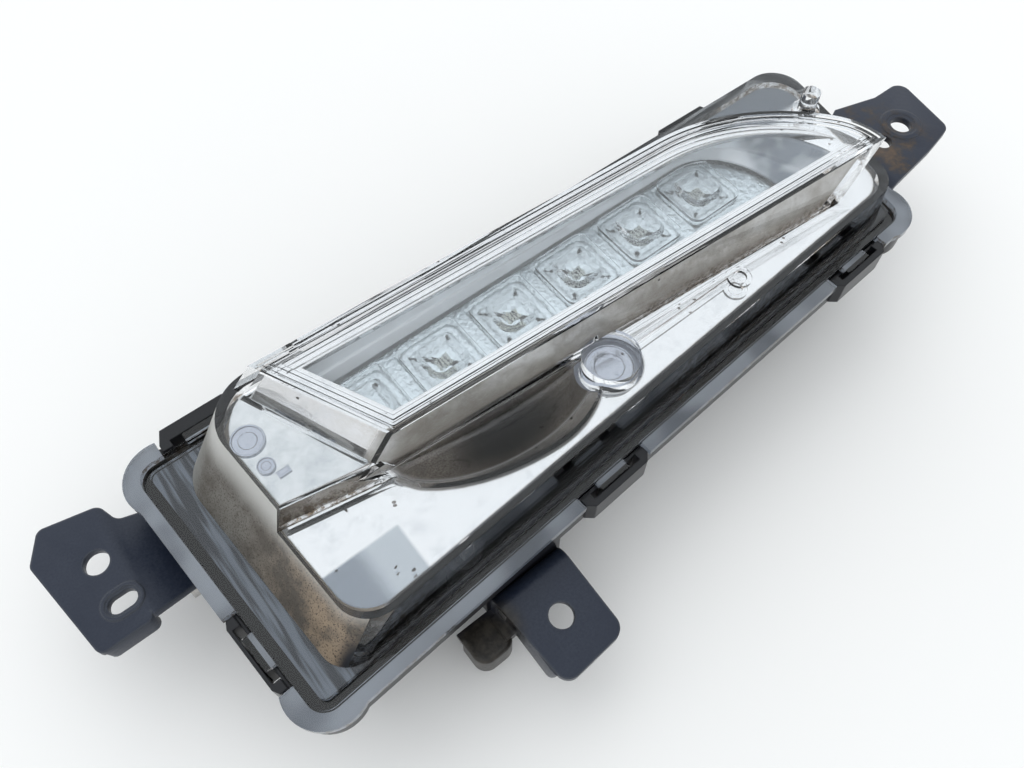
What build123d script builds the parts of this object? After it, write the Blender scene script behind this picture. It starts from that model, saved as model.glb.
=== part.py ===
from build123d import *
from math import atan2, cos, degrees, radians, sin, tan
import os

# Daytime running light, lying on its flat back with the lens upwards.
# X runs along the lamp, Y across it and Z out of the lens; the origin is on the back, in millimetres.

# Lens flange
FLANGE_Z = 42.0
FLANGE_LEFT = -121.0
FLANGE_LENGTH = 248.0
FLANGE_TOP = 41.6
LEFT_END_WIDTH = 90.8
RIGHT_END_WIDTH = 72.8
RIGHT_END_DROP = 3.0
LEFT_END_LEAN = 6.0
RIGHT_END_LEAN = 13.0
FLANGE_CORNER_R = 9.0
MIN_CORNER_R = 2.0
LOBE_R = 11.0
LOBE_INSET = 10.0
LENS_T = 2.2
LIP_WIDTH = 4.0
GROOVE_WIDTH = 2.6
GROOVE_DEPTH = 2.0
TONGUE_DEPTH = 5.6
TONGUE_SIDE = 0.2
RIGHT_END = FLANGE_LEFT + FLANGE_LENGTH

# Lens body and its raised plateau
FOOT_INSET = 7.2
FACE_INSET = 8.4
LEFT_FOOT_INSET = 13.0
LEFT_FACE_INSET = 25.0
RIGHT_FOOT_INSET = 9.2
RIGHT_FACE_INSET = 10.4
BODY_FOOT_R = 8.0
BODY_FACE_R = 10.0
BODY_END_R = 14.0
FACE_H = 15.0
PLATEAU_H = 20.0
STEP_LEFT = Vector(-150.0, 3.4)
STEP_RIGHT = Vector(-64.0, -13.0)
STEP_RUN = 3.0

# Window tower, which leans towards the pointed end
TOWER_H = 28.0
END_ARC = 50.0
TOP_UPPER_LEFT = Vector(-79.2, 28.4)
TOP_LOWER_LEFT = Vector(-62.0, -8.7)
TOP_TIP = Vector(RIGHT_END - 24.7, -18.6)
TOP_UPPER_END = Vector(RIGHT_END - 77.0, 21.5)
FOOT_UPPER_LEFT = Vector(-88.2, 31.2)
FOOT_LOWER_LEFT = Vector(-72.5, -9.2)
FOOT_TIP = Vector(RIGHT_END - 42.2, -21.4)
FOOT_UPPER_END = Vector(RIGHT_END - 67.0, 25.0)
BORDER_WIDTH = 4.2
BORDER_RAISE = 0.7
BORDER_GROOVE = 0.7

# Scoop in the face in front of the window
SCOOP_X = -28.0
SCOOP_LEFT = 38.0
SCOOP_RIGHT = 24.0
SCOOP_WIDTH = 17.0
SCOOP_DEPTH = 6.5
SCOOP_LEDGE = 0.4

# Boss, rib, eye and pin on the face
BOSS_X = -2.4
BOSS_Y = -19.9
BOSS_R = 7.9
BOSS_H = 17.0
BOSS_DEPTH = 8.0
RIB_LENGTH = 45.0
RIB_WIDTH = 1.6
RIB_H = 1.0
EYE_R = 3.4
EYE_BORE_R = 2.0
PIN_X = RIGHT_END - 22.0
PIN_Y = 10.0
PIN_R = 2.75
PIN_H = 23.0
PIN_COLLAR_R = 4.2
PIN_COLLAR_H = 16.6

# Snap clips round the flange
CLIP_SIDE_PARTS = [[0.71], [0.424, 0.877], [], [0.166, 0.552, 0.899]]
CLIP_LEFT_REACH = 0.4
CLIP_LOWER_REACH = 1.3
CLIP_UPPER_REACH = 3.6
CLIP_LENGTH = 24.0
CLIP_GAP = 0.6
CLIP_SLOPE = 2.0
CLIP_SLOT_INSET = 0.6
CLIP_SLOT_MARGIN = 3.0
CLIP_SLOT_WIDTH = 2.1
CLIP_TOP = 0.6
CLIP_BOTTOM = 9.0
HOOK_LENGTH = 10.0
HOOK_T = 1.5
HOOK_GAP = 0.3
HOOK_CATCH = 1.4

# Housing
RIM_INSET = 1.0
RIM_TOP = 2.4
RIM_BOTTOM = 10.0
CHANNEL_FLOOR = 8.0
CHANNEL_CLEARANCE = 0.2
WALL = 2.4
TUB_INSET = 5.6
TUB_DRAFT = 3.0
SHALLOW_Z = 14.0
DEEP_LENGTH = 106.0
DEEP_WIDTH = 56.0
DEEP_Y = -2.0
DEEP_CORNER_R = 8.0
POST_MARGIN = 4.5
POST_R = 4.0

# Light engine under the window
LED_COUNT = 6
LED_LEFT_MARGIN = 1.2
LED_RIGHT_MARGIN = 19.6
LED_Y = 7.0
LED_SIZE = 4.6
LED_H = 1.7
LED_DOME_R = 1.6
LED_DOME_TOP_R = 0.9
LED_DOME_H = 1.4
OPTIC_Z = 13.0
OPTIC_T = 2.6
OPTIC_UPPER_LEFT = Vector(-72.8, 18.8)
OPTIC_LOWER_LEFT = Vector(-61.2, -3.4)
OPTIC_TIP = Vector(RIGHT_END - 52.4, -6.0)
OPTIC_UPPER_END = Vector(RIGHT_END - 71.5, 17.5)
TILE_GAP = 4.5
TILE_WIDTH = 18.5
TILE_R = 3.0
TILE_RAISE = 1.0
LENSLET_MARGIN = 3.0
LENSLET_R = 4.0
LENSLET_RAISE = 1.4
CUP_WALL = 2.0
CUP_EDGE = 1.0
CUP_WIDTH = 19.0
CUP_BASE = 7.0
BOARD_MARGIN = 8.0
BOARD_WIDTH = 30.6
BOARD_FRONT = -5.6
BOARD_CORNER_R = 3.0
BOARD_T = 1.6
BOARD_TOP = 7.8
PAD_MARGIN = 11.0
PAD_T = 0.4
SINK_T = 2.5
FIN_COUNT = 11
FIN_T = 1.8
FIN_H = 12.0
FIN_GAP = 7.0

# Bezel under the lens
BEZEL_GAP = 1.0
BEZEL_T = 1.6
SKIRT_BOTTOM = 2.0
SKIRT_RUN = 12.0
RIM_OPENING_INSET = 6.4
FRAME_T = 1.4
FRAME_INSET = 5.2
FRAME_LEDGE = 19.0
FRAME_LEDGE_PART = 0.3
LEG_R = 4.0
LEG_BOTTOM = -1.0
LEFT_LEG_RUN = 59.0
END_LEG_RUN = 34.0
RIGHT_LEG_RUN = 35.0
LOWER_LEFT_LEG_INSET = 14.7
UPPER_LEFT_LEG_INSET = 23.7
UPPER_RIGHT_LEG_INSET = 15.5
LOWER_RIGHT_LEG_INSET = 19.6
LEG_POST_R = 5.2
LEG_POST_CAP = 2.5

# Connector on the back and breather cap
SOCKET_X = 28.0
SOCKET_Z = 7.4
SOCKET_LENGTH = 18.0
SOCKET_HEIGHT = 10.4
SOCKET_REACH = 14.0
SOCKET_WALL = 1.8
SOCKET_CORNER_R = 2.0
SOCKET_FLOOR = 3.0
SOCKET_FLANGE = 2.0
SOCKET_FLANGE_RIM = 1.4
SOCKET_NECK = 5.0
SEAL_T = 1.0
BLADE_SPACING = 8.4
BLADE_T = 0.8
BLADE_W = 2.8
BLADE_TAIL = 3.0
BLADE_TIP = 2.5
HEADER_MARGIN = 0.8
HEADER_Y = 9.0
HEADER_LENGTH = 9.0
HEADER_WIDTH = 4.4
HEADER_H = 3.0
WIRE_R = 0.9
WIRE_SPACING = 4.2
WIRE_REACH = 4.5
WIRE_FLOOR_GAP = 3.6
WIRE_TURN = 9.0
VENT_RUN = 35.0
VENT_Y = -6.0
VENT_R = 7.0
VENT_H = 5.0
VENT_STEM_R = 4.0

# Sheet steel brackets
SHEET = 2.5
BEND_R = 3.0
BOLT_HOLE_R = 3.5
EMBOSS_GAP = 1.5
EMBOSS_WIDTH = 2.0
EMBOSS_H = 0.35
PLATE_CORNER_R = 4.0
LEG_BOTTOM_Z = 13.2
LEG_SCREW_Z = 17.8
LEG_SCREW_SPACING = 17.0
PAD_INWARD = 9.5
PAD_WIDTH = 27.0
LEFT_LEG_INSET = 4.5
LEFT_LEG_Y = 22.0
LEFT_PLATE_Z = 30.0
LEFT_BEND = 14.5
LEFT_DROP = 4.5
LEFT_HOLE_REACH = 20.1
LEFT_HOLE_Y = 28.0
LEFT_SLOT_REACH = 19.3
LEFT_SLOT_Y = 14.3
SLOT_LENGTH = 8.0
SLOT_WIDTH = 5.0
RIGHT_LEG_INSET = 11.0
RIGHT_LEG_Y = -5.5
RIGHT_PLATE_Z = 35.0
RIGHT_BEND = 11.0
RIGHT_DROP = 7.0
RIGHT_HOLE_REACH = 32.8
RIGHT_HOLE_Y = -2.5
RIGHT_SMALL_HOLE_REACH = 21.8
RIGHT_SMALL_HOLE_Y = -3.8
SMALL_HOLE_R = 3.0
LOWER_LEG_X = -49.5
LOWER_LEG_INSET = 2.4
LOWER_PAD_WIDTH = 25.0
LOWER_SCREW_SPACING = 13.0
LOWER_PLATE_Z = 27.5
LOWER_TILT = 8.0
LOWER_HOLE_SHIFT = 0.4
LOWER_HOLE_REACH = 15.1
LOWER_SKIRT_LENGTH = 17.0
LUG_SHIFT = 10.9
LUG_LENGTH = 12.0
LUG_REACH = 11.5
LUG_H = 9.5
LOWER_SKIRT_SHIFT = 9.0
LEFT_SKIRT_REACH = 22.0
LEFT_SKIRT_Y = 6.45
SKIRT_DROP = 7.0
LOWER_SKIRT_DROP = 10.5

# Screws
SCREW_R = 2.5
SCREW_HEAD_R = 4.2
SCREW_HEAD_H = 3.0
SCREW_DEPTH = 9.0
SMALL_SCREW_R = 1.5
SMALL_HEAD_R = 2.8
SMALL_HEAD_H = 1.8
SMALL_SCREW_DEPTH = 8.0
SCREW_CLEARANCE = 0.05
HEAD_CLEARANCE = 1.0
BORE_SPARE = 2.0
RECESS_RIM = 0.3
RECESS_DEPTH = 1.2

# Small overlaps where pieces of one solid join, and how far cuts reach past a face
FUSE = 0.1
LEG_SINK = 0.5
CUT = 1.0
TOWER_SINK = 2.0

UP = (0, 0, 1)


def corner_points(insets):
    """Corners of the flange outline with its left, lower, right and upper sides moved inwards."""
    right_top = FLANGE_TOP - RIGHT_END_DROP
    corners = [
        Vector(FLANGE_LEFT, FLANGE_TOP),
        Vector(FLANGE_LEFT + LEFT_END_LEAN, FLANGE_TOP - LEFT_END_WIDTH),
        Vector(RIGHT_END - RIGHT_END_LEAN, right_top - RIGHT_END_WIDTH),
        Vector(RIGHT_END, right_top),
    ]
    starts = []
    ways = []
    for side in range(4):
        way = (corners[(side + 1) % 4] - corners[side]).normalized()
        starts.append(corners[side] + Vector(-way.Y, way.X) * insets[side])
        ways.append(way)
    moved = []
    for side in range(4):
        a, u = starts[side - 1], ways[side - 1]
        b, v = starts[side], ways[side]
        along = ((b - a).X * v.Y - (b - a).Y * v.X) / (u.X * v.Y - u.Y * v.X)
        moved.append(a + u * along)
    return moved


def quad(insets, radius, end_radius):
    """Rounded four-sided face that follows the flange, its upper left corner with a radius of its own."""
    corners = corner_points(insets)
    face = make_face(Polyline(*corners, close=True))
    face = fillet(face.vertices().sort_by_distance(corners[0])[1:], radius)
    return fillet(face.vertices().sort_by_distance(corners[0])[0:1], end_radius)


def ring(inset):
    """Flange outline moved inwards evenly."""
    radius = max(FLANGE_CORNER_R - inset, MIN_CORNER_R)
    return quad([inset] * 4, radius, radius)


def lobed_ring(inset):
    """Flange outline with the rounded lobes that swell out at its corners."""
    face = ring(inset)
    for corner in corner_points([LOBE_INSET] * 4):
        face += Pos(corner) * Circle(LOBE_R - inset)
    return face


def prism(face, z_low, z_high):
    """Flat face drawn upwards from one height above the flange to another."""
    return extrude(Pos(0, 0, FLANGE_Z + z_low) * face, amount=z_high - z_low, dir=UP)


def between(low_face, z_low, high_face, z_high):
    """Straight-sided solid between two faces at heights above the flange."""
    low = Pos(0, 0, FLANGE_Z + z_low) * low_face
    high = Pos(0, 0, FLANGE_Z + z_high) * high_face
    return loft([low, high], ruled=True)


def pointed_face(upper_left, lower_left, tip, upper_end, inset=0.0):
    """Window outline: three straight sides and a rounded end of two tangent arcs down to the tip."""
    way = (upper_end - upper_left).normalized()
    inward = Vector(way.Y, -way.X)
    run = (tip - upper_end).dot(way)
    drop = (tip - upper_end).dot(inward)
    sine = sin(radians(END_ARC))
    cosine = cos(radians(END_ARC))
    first_r = (run * cosine - drop * (1 - sine)) / (sine + cosine - 1)
    middle = upper_end + inward * first_r + (way * sine - inward * cosine) * first_r
    heading = way * cosine + inward * sine
    sides = [
        Line(upper_left, lower_left),
        Line(lower_left, tip),
        TangentArc(middle, tip, tangent=heading),
        TangentArc(upper_end, middle, tangent=way),
        Line(upper_end, upper_left),
    ]
    face = make_face(sides)
    if inset:
        face = offset(face, amount=-inset, kind=Kind.INTERSECTION)
    return face


def tower_points(height):
    """Corners of the window tower at a height above the flange."""
    part = min(max((height - FACE_H) / (TOWER_H - FACE_H), 0.0), 1.0)
    tops = [TOP_UPPER_LEFT, TOP_LOWER_LEFT, TOP_TIP, TOP_UPPER_END]
    feet = [FOOT_UPPER_LEFT, FOOT_LOWER_LEFT, FOOT_TIP, FOOT_UPPER_END]
    return [low + (high - low) * part for low, high in zip(feet, tops)]


def tower_face(height, inset=0.0):
    """Section of the window tower at a height above the flange."""
    return pointed_face(*tower_points(height), inset)


def blend_face(part, inset):
    """Section of the inner frame, from the optic's outline up to that of the window opening."""
    top = tower_points(FRAME_TOP)
    low = [OPTIC_UPPER_LEFT, OPTIC_LOWER_LEFT, OPTIC_TIP, OPTIC_UPPER_END]
    points = [a + (b - a) * part for a, b in zip(low, top)]
    return pointed_face(*points, inset + part * FRAME_INSET)


def body_block(inset):
    """Lens body moved inwards on all sides, its face cut down beside the raised plateau."""
    high = PLATEAU_H - inset
    part = high / PLATEAU_H
    feet = [LEFT_FOOT_INSET, FOOT_INSET, RIGHT_FOOT_INSET, FOOT_INSET]
    tops = [LEFT_FACE_INSET, FACE_INSET, RIGHT_FACE_INSET, FACE_INSET]
    foot = quad([a + inset for a in feet], BODY_FOOT_R, BODY_END_R)
    face = quad([a + (b - a) * part + inset for a, b in zip(feet, tops)], BODY_FACE_R, BODY_END_R)
    block = between(foot, 0, face, high)
    if inset:
        block += prism(foot, -2 * LENS_T, 0)
    reach = FLANGE_LENGTH
    step = make_face(
        Polyline(
            STEP_LEFT,
            STEP_RIGHT,
            (STEP_RIGHT.X, reach),
            (reach, reach),
            (reach, -reach),
            (STEP_LEFT.X, -reach),
            close=True,
        )
    )
    wide = offset(step, amount=inset + STEP_RUN, kind=Kind.INTERSECTION)
    if inset:
        step = offset(step, amount=inset, kind=Kind.INTERSECTION)
    return block - between(step, FACE_H - inset, wide, PLATEAU_H)


def tower_block(inset):
    """Window tower moved inwards on all sides, reaching down through the face."""
    top = TOWER_H - inset
    low = FACE_H - inset - TOWER_SINK
    foot = tower_face(FACE_H, inset)
    return between(foot, FACE_H, tower_face(top, inset), top) + prism(foot, low, FACE_H)


def scoop(grow):
    """Long hollow in the face along the foot of the window, grown by a wall."""
    way = (FOOT_TIP - FOOT_LOWER_LEFT).normalized()
    start = FOOT_LOWER_LEFT + way * ((SCOOP_X - FOOT_LOWER_LEFT.X) / way.X)
    turn = degrees(atan2(way.Y, way.X))
    middle_r = (SCOOP_WIDTH**2 + SCOOP_DEPTH**2) / (2 * SCOOP_DEPTH)
    points = []
    for reach, end in ((SCOOP_LEFT, -1), (SCOOP_RIGHT, 1)):
        sweep_r = (reach**2 + SCOOP_DEPTH**2) / (2 * SCOOP_DEPTH)
        for part in (1.3, 0.65):
            drop = sweep_r - ((sweep_r + grow) ** 2 - (reach * part) ** 2) ** 0.5
            points.append(Vector(end * reach * part, middle_r - drop))
    left_end, left_way, right_end, right_way = points
    middle = Vector(0, middle_r + grow)
    profile = make_face(
        [
            Line((left_end.X, 0), left_end),
            ThreePointArc(left_end, left_way, middle),
            ThreePointArc(middle, right_way, right_end),
            Line(right_end, (right_end.X, 0)),
            Line((right_end.X, 0), (left_end.X, 0)),
        ]
    )
    size = FLANGE_LENGTH
    front = Pos(0, grow - SCOOP_LEDGE - size / 2, 0) * Box(size, size, size)
    height = FLANGE_Z + FACE_H + middle_r - SCOOP_DEPTH
    return Pos(start.X, start.Y, height) * Rot(0, 0, turn) * (revolve(profile, Axis.X) & front)


def post(x, y, radius, z_low, z_high):
    """Upright round post between two heights above the flange."""
    return prism(Pos(x, y) * Circle(radius), z_low, z_high)


def clip_planes():
    """Planes at the snap clips, X along the flange edge, Y inwards and Z up, each with its clip's reach."""
    corners = corner_points([0] * 4)
    reaches = [CLIP_LEFT_REACH, CLIP_LOWER_REACH, CLIP_LOWER_REACH, CLIP_UPPER_REACH]
    planes = []
    for start, end, parts, reach in zip(corners, corners[1:] + corners[:1], CLIP_SIDE_PARTS, reaches):
        for part in parts:
            spot = start + (end - start) * part
            at = Plane(origin=(spot.X, spot.Y, FLANGE_Z), x_dir=end - start, z_dir=UP)
            planes.append((at, reach))
    return planes


def side_y(x, side, inset):
    """Height in plan at which the lower or upper flange side, moved inwards, passes x."""
    corners = corner_points([inset] * 4)
    start, end = (corners[1], corners[2]) if side < 0 else (corners[0], corners[3])
    return start.Y + (end.Y - start.Y) * (x - start.X) / (end.X - start.X)


def slab(x_low, x_high, y_low, y_high, z_low, z_high):
    """Box between limits."""
    size = Box(x_high - x_low, y_high - y_low, z_high - z_low)
    return Pos((x_low + x_high) / 2, (y_low + y_high) / 2, (z_low + z_high) / 2) * size


def screw(radius, depth, head_r, head_h):
    """Screw with a hexagon recess, pointing down from the underside of its head at the origin."""
    body = Pos(0, 0, -depth / 2) * Cylinder(radius, depth) + Pos(0, 0, head_h / 2) * Cylinder(head_r, head_h)
    recess = extrude(Pos(0, 0, head_h) * RegularPolygon(radius - RECESS_RIM, 6), amount=-RECESS_DEPTH)
    return body - recess


FRAME_TOP = TOWER_H - LENS_T - BEZEL_GAP - BEZEL_T
BEZEL_INSET = LENS_T + BEZEL_GAP
TONGUE_INSET = LIP_WIDTH - TONGUE_SIDE
TONGUE_END = LIP_WIDTH + GROOVE_WIDTH + TONGUE_SIDE
CHANNEL_INSET = TONGUE_INSET - CHANNEL_CLEARANCE
CHANNEL_END = TONGUE_END + CHANNEL_CLEARANCE
RIM_END = CHANNEL_END + WALL
SINK_BOTTOM = BOARD_TOP - BOARD_T - PAD_T - SINK_T
BOARD_LENGTH = OPTIC_TIP.X - OPTIC_UPPER_LEFT.X + 2 * BOARD_MARGIN
BOARD_X = (OPTIC_TIP.X + OPTIC_UPPER_LEFT.X) / 2
BOARD_Y = BOARD_FRONT + BOARD_WIDTH / 2
POST_X = BOARD_LENGTH / 2 - POST_MARGIN
POST_Y = BOARD_WIDTH / 2 - POST_MARGIN
LEG_PLACES = [
    (FLANGE_LEFT + LEFT_LEG_RUN, -1, LOWER_LEFT_LEG_INSET),
    (FLANGE_LEFT + END_LEG_RUN, 1, UPPER_LEFT_LEG_INSET),
    (RIGHT_END - RIGHT_LEG_RUN, 1, UPPER_RIGHT_LEG_INSET),
    (RIGHT_END - RIGHT_LEG_RUN, -1, LOWER_RIGHT_LEG_INSET),
]
LEG_SPOTS = [(x, side_y(x, side, inset)) for x, side, inset in LEG_PLACES]
POST_SPOTS = [(BOARD_X + i * POST_X, BOARD_Y + j * POST_Y) for i in (-1, 1) for j in (-1, 1)]
LED_FIRST_X = OPTIC_LOWER_LEFT.X + LED_LEFT_MARGIN
LED_PITCH = (OPTIC_TIP.X - LED_RIGHT_MARGIN - LED_FIRST_X) / (LED_COUNT - 1)
LED_SPOTS = [(LED_FIRST_X + LED_PITCH * i, LED_Y) for i in range(LED_COUNT)]
TILE_LENGTH = LED_PITCH - TILE_GAP
LENSLET_LENGTH = TILE_LENGTH - 2 * LENSLET_MARGIN

LEFT_LEG_X = FLANGE_LEFT + LEFT_LEG_INSET
VENT_X = FLANGE_LEFT + VENT_RUN
RIGHT_LEG_X = RIGHT_END - RIGHT_LEG_INSET
LOWER_START, LOWER_FINISH = corner_points([LOWER_LEG_INSET] * 4)[1:3]
LOWER_SLOPE = (LOWER_FINISH.Y - LOWER_START.Y) / (LOWER_FINISH.X - LOWER_START.X)
LOWER_LEG_Y = LOWER_START.Y + LOWER_SLOPE * (LOWER_LEG_X - LOWER_START.X)
HALF_SPACING = LEG_SCREW_SPACING / 2
LOWER_HALF = LOWER_SCREW_SPACING / 2
LEFT_AT = Pos(LEFT_LEG_X, LEFT_LEG_Y, LEG_SCREW_Z) * Rot(0, -90, 0)
RIGHT_AT = Pos(RIGHT_LEG_X, RIGHT_LEG_Y, LEG_SCREW_Z) * Rot(0, 90, 0)
LOWER_AT = Pos(LOWER_LEG_X, LOWER_LEG_Y, LEG_SCREW_Z) * Rot(90, 0, 0)
LEFT_SCREWS = [LEFT_AT * Pos(0, i * HALF_SPACING, 0) for i in (-1, 1)]
RIGHT_SCREWS = [RIGHT_AT * Pos(0, i * HALF_SPACING, 0) for i in (-1, 1)]
LOWER_SCREWS = [LOWER_AT * Pos(i * LOWER_HALF, 0, 0) for i in (-1, 1)]
BRACKET_SCREWS = LEFT_SCREWS + RIGHT_SCREWS + LOWER_SCREWS

nodes = {}

# Clear lens
lens = prism(lobed_ring(0), -LENS_T, 0) + body_block(0) + tower_block(0)
lens += post(PIN_X, PIN_Y, PIN_R, FACE_H - LENS_T, PIN_H)
lens += post(PIN_X, PIN_Y, PIN_COLLAR_R, FACE_H - LENS_T, PIN_COLLAR_H)
rib_y = BOSS_Y + RIB_WIDTH / 2
lens += slab(
    BOSS_X, BOSS_X + RIB_LENGTH, rib_y - RIB_WIDTH, rib_y,
    FLANGE_Z + FACE_H - LENS_T, FLANGE_Z + FACE_H + RIB_H,
)
lens += post(BOSS_X + RIB_LENGTH, rib_y - EYE_R, EYE_R, FACE_H - LENS_T, FACE_H + RIB_H)
lens -= post(BOSS_X + RIB_LENGTH, rib_y - EYE_R, EYE_BORE_R, FACE_H, TOWER_H)
lens -= scoop(0)
lens -= body_block(LENS_T) + tower_block(LENS_T) - scoop(LENS_T)
lens += post(BOSS_X, BOSS_Y, BOSS_R, BOSS_DEPTH, BOSS_H)
lens -= prism(tower_face(TOWER_H, BORDER_WIDTH), TOWER_H - BORDER_RAISE, PIN_H + TOWER_H)
for part in (1, 2):
    start = part * BORDER_WIDTH / 3 - BORDER_GROOVE / 2
    groove = tower_face(TOWER_H, start) - tower_face(TOWER_H, start + BORDER_GROOVE)
    lens -= prism(groove, TOWER_H - BORDER_RAISE, PIN_H + TOWER_H)
lens += prism(ring(TONGUE_INSET) - ring(TONGUE_END), -TONGUE_DEPTH, -LENS_T / 2)
lens -= prism(ring(LIP_WIDTH) - ring(LIP_WIDTH + GROOVE_WIDTH), -GROOVE_DEPTH, CUT)
hook_y = CLIP_SLOT_INSET + HOOK_GAP
half = CLIP_LENGTH / 2
leg = HOOK_LENGTH / 2
for at, clip_reach in clip_planes():
    lens -= at * slab(-half, half, -CLIP_LENGTH, TONGUE_INSET, -LENS_T - CUT, CUT)
    hook = slab(-leg, leg, hook_y, TONGUE_INSET + TONGUE_SIDE / 2, -LENS_T, -LENS_T / 4)
    hook += slab(-leg, leg, hook_y, hook_y + HOOK_T, -CLIP_BOTTOM - HOOK_T, -LENS_T / 2)
    hook += slab(-leg, leg, hook_y - HOOK_CATCH, hook_y, -CLIP_BOTTOM - HOOK_T, -CLIP_BOTTOM)
    lens += at * hook
nodes["front_lens"] = lens

# Black housing
housing = prism(lobed_ring(RIM_INSET), -RIM_BOTTOM, -RIM_TOP)
housing += between(ring(TUB_INSET + TUB_DRAFT), SHALLOW_Z - FLANGE_Z, ring(TUB_INSET), -RIM_BOTTOM)
deep = Pos(0, DEEP_Y) * RectangleRounded(DEEP_LENGTH, DEEP_WIDTH, DEEP_CORNER_R)
deep_inner = offset(deep, amount=-WALL)
housing += prism(deep, -FLANGE_Z, SHALLOW_Z - FLANGE_Z)
housing -= prism(ring(CHANNEL_INSET) - ring(CHANNEL_END), -CHANNEL_FLOOR, 0)
housing -= prism(ring(RIM_END), -RIM_BOTTOM, 0)
housing -= between(
    ring(TUB_INSET + TUB_DRAFT + WALL), SHALLOW_Z + WALL - FLANGE_Z, ring(RIM_END), -RIM_BOTTOM
)
housing -= prism(deep_inner, WALL - FLANGE_Z, SHALLOW_Z + WALL - FLANGE_Z)
loop_half = half - CLIP_GAP
slot_half = loop_half - CLIP_SLOT_MARGIN
slot_end = CLIP_SLOT_INSET + CLIP_SLOT_WIDTH
slot = slab(-slot_half, slot_half, CLIP_SLOT_INSET, slot_end, -2 * RIM_BOTTOM, 0)
for at, clip_reach in clip_planes():
    loop_face = make_face(
        Polyline(
            (-loop_half, slot_end),
            (-loop_half, CLIP_SLOT_INSET),
            (-loop_half + CLIP_SLOPE, -clip_reach),
            (loop_half - CLIP_SLOPE, -clip_reach),
            (loop_half, CLIP_SLOT_INSET),
            (loop_half, slot_end),
            close=True,
        )
    )
    loop = extrude(Pos(0, 0, -CLIP_BOTTOM) * loop_face, amount=CLIP_BOTTOM - CLIP_TOP, dir=UP)
    housing += at * loop
    housing -= at * slot
rim_floor = FLANGE_Z - RIM_BOTTOM
left_low = LEFT_LEG_Y - PAD_WIDTH / 2
housing += slab(LEFT_LEG_X, LEFT_LEG_X + PAD_INWARD, left_low, left_low + PAD_WIDTH, SHALLOW_Z, rim_floor)
right_low = RIGHT_LEG_Y - PAD_WIDTH / 2
right_in = RIGHT_LEG_X - PAD_INWARD
housing += slab(right_in, RIGHT_LEG_X, right_low, right_low + PAD_WIDTH, SHALLOW_Z, rim_floor)
lower_low = LOWER_LEG_X - LOWER_PAD_WIDTH / 2
housing += slab(
    lower_low, lower_low + LOWER_PAD_WIDTH, LOWER_LEG_Y, LOWER_LEG_Y + PAD_INWARD, SHALLOW_Z, rim_floor
)
for x, y in POST_SPOTS:
    housing += post(x, y, POST_R, SHALLOW_Z - FLANGE_Z, SINK_BOTTOM)
    housing -= post(x, y, SMALL_SCREW_R + SCREW_CLEARANCE, SINK_BOTTOM - SMALL_SCREW_DEPTH, SINK_BOTTOM)
seat = LEG_BOTTOM - LEG_POST_CAP
for x, y in LEG_SPOTS:
    housing += post(x, y, LEG_POST_R, SHALLOW_Z - FLANGE_Z, LEG_BOTTOM)
    housing -= post(x, y, SMALL_HEAD_R + HEAD_CLEARANCE, SHALLOW_Z - FLANGE_Z, seat)
    housing -= post(x, y, SMALL_SCREW_R + SCREW_CLEARANCE, seat, LEG_BOTTOM)

socket_y = DEEP_Y + DEEP_WIDTH / 2
neck_half = SOCKET_LENGTH / 2 - SOCKET_WALL
neck_rise = SOCKET_HEIGHT / 2 - SOCKET_WALL
housing -= slab(
    SOCKET_X - neck_half, SOCKET_X + neck_half, socket_y - 2 * WALL, socket_y + CUT,
    SOCKET_Z - neck_rise, SOCKET_Z + neck_rise,
)
housing -= post(VENT_X, VENT_Y, VENT_STEM_R, SHALLOW_Z - FLANGE_Z - CUT, SHALLOW_Z + WALL - FLANGE_Z + CUT)
screw_bore = SCREW_R + SCREW_CLEARANCE
for place in BRACKET_SCREWS:
    housing -= place * Pos(0, 0, -SCREW_DEPTH / 2) * Cylinder(screw_bore, SCREW_DEPTH)
nodes["rear_housing"] = housing

# Seal bead in the housing channel under the lens tongue
nodes["lens_seal"] = prism(ring(CHANNEL_INSET) - ring(CHANNEL_END), -CHANNEL_FLOOR, -TONGUE_DEPTH)

# Bright bezel under the lens, with its boss cup and legs
bezel = body_block(BEZEL_INSET) + tower_block(BEZEL_INSET) - scoop(BEZEL_INSET)
inside = BEZEL_INSET + BEZEL_T
hollow = scoop(inside)
bezel -= body_block(inside) + tower_block(inside) - hollow
skirt = prism(ring(0), -FLANGE_Z, SKIRT_BOTTOM)
skirt_end = FLANGE_LEFT + LEFT_FOOT_INSET + SKIRT_RUN
reach = FLANGE_LENGTH
skirt += slab(skirt_end, skirt_end + reach, -reach, reach, 0, FLANGE_Z + FACE_H - inside)
bezel -= skirt - hollow
bezel -= prism(tower_face(TOWER_H, RIM_OPENING_INSET), FRAME_TOP - BEZEL_T, TOWER_H)
cup_r = BOSS_R + BEZEL_GAP
cup = post(BOSS_X, BOSS_Y, cup_r + BEZEL_T, BOSS_DEPTH - BEZEL_GAP - BEZEL_T, FACE_H - inside + LEG_SINK)
bezel += cup - scoop(BEZEL_INSET)
bezel -= post(BOSS_X, BOSS_Y, cup_r, BOSS_DEPTH - BEZEL_GAP, TOWER_H)
for x, y in LEG_SPOTS:
    high = PLATEAU_H if x < FOOT_LOWER_LEFT.X else FACE_H
    bezel += post(x, y, LEG_R, LEG_BOTTOM, high - inside + LEG_SINK)
    bezel -= post(x, y, SMALL_SCREW_R + SCREW_CLEARANCE, LEG_BOTTOM, seat + SMALL_SCREW_DEPTH)
nodes["chrome_bezel"] = bezel

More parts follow.
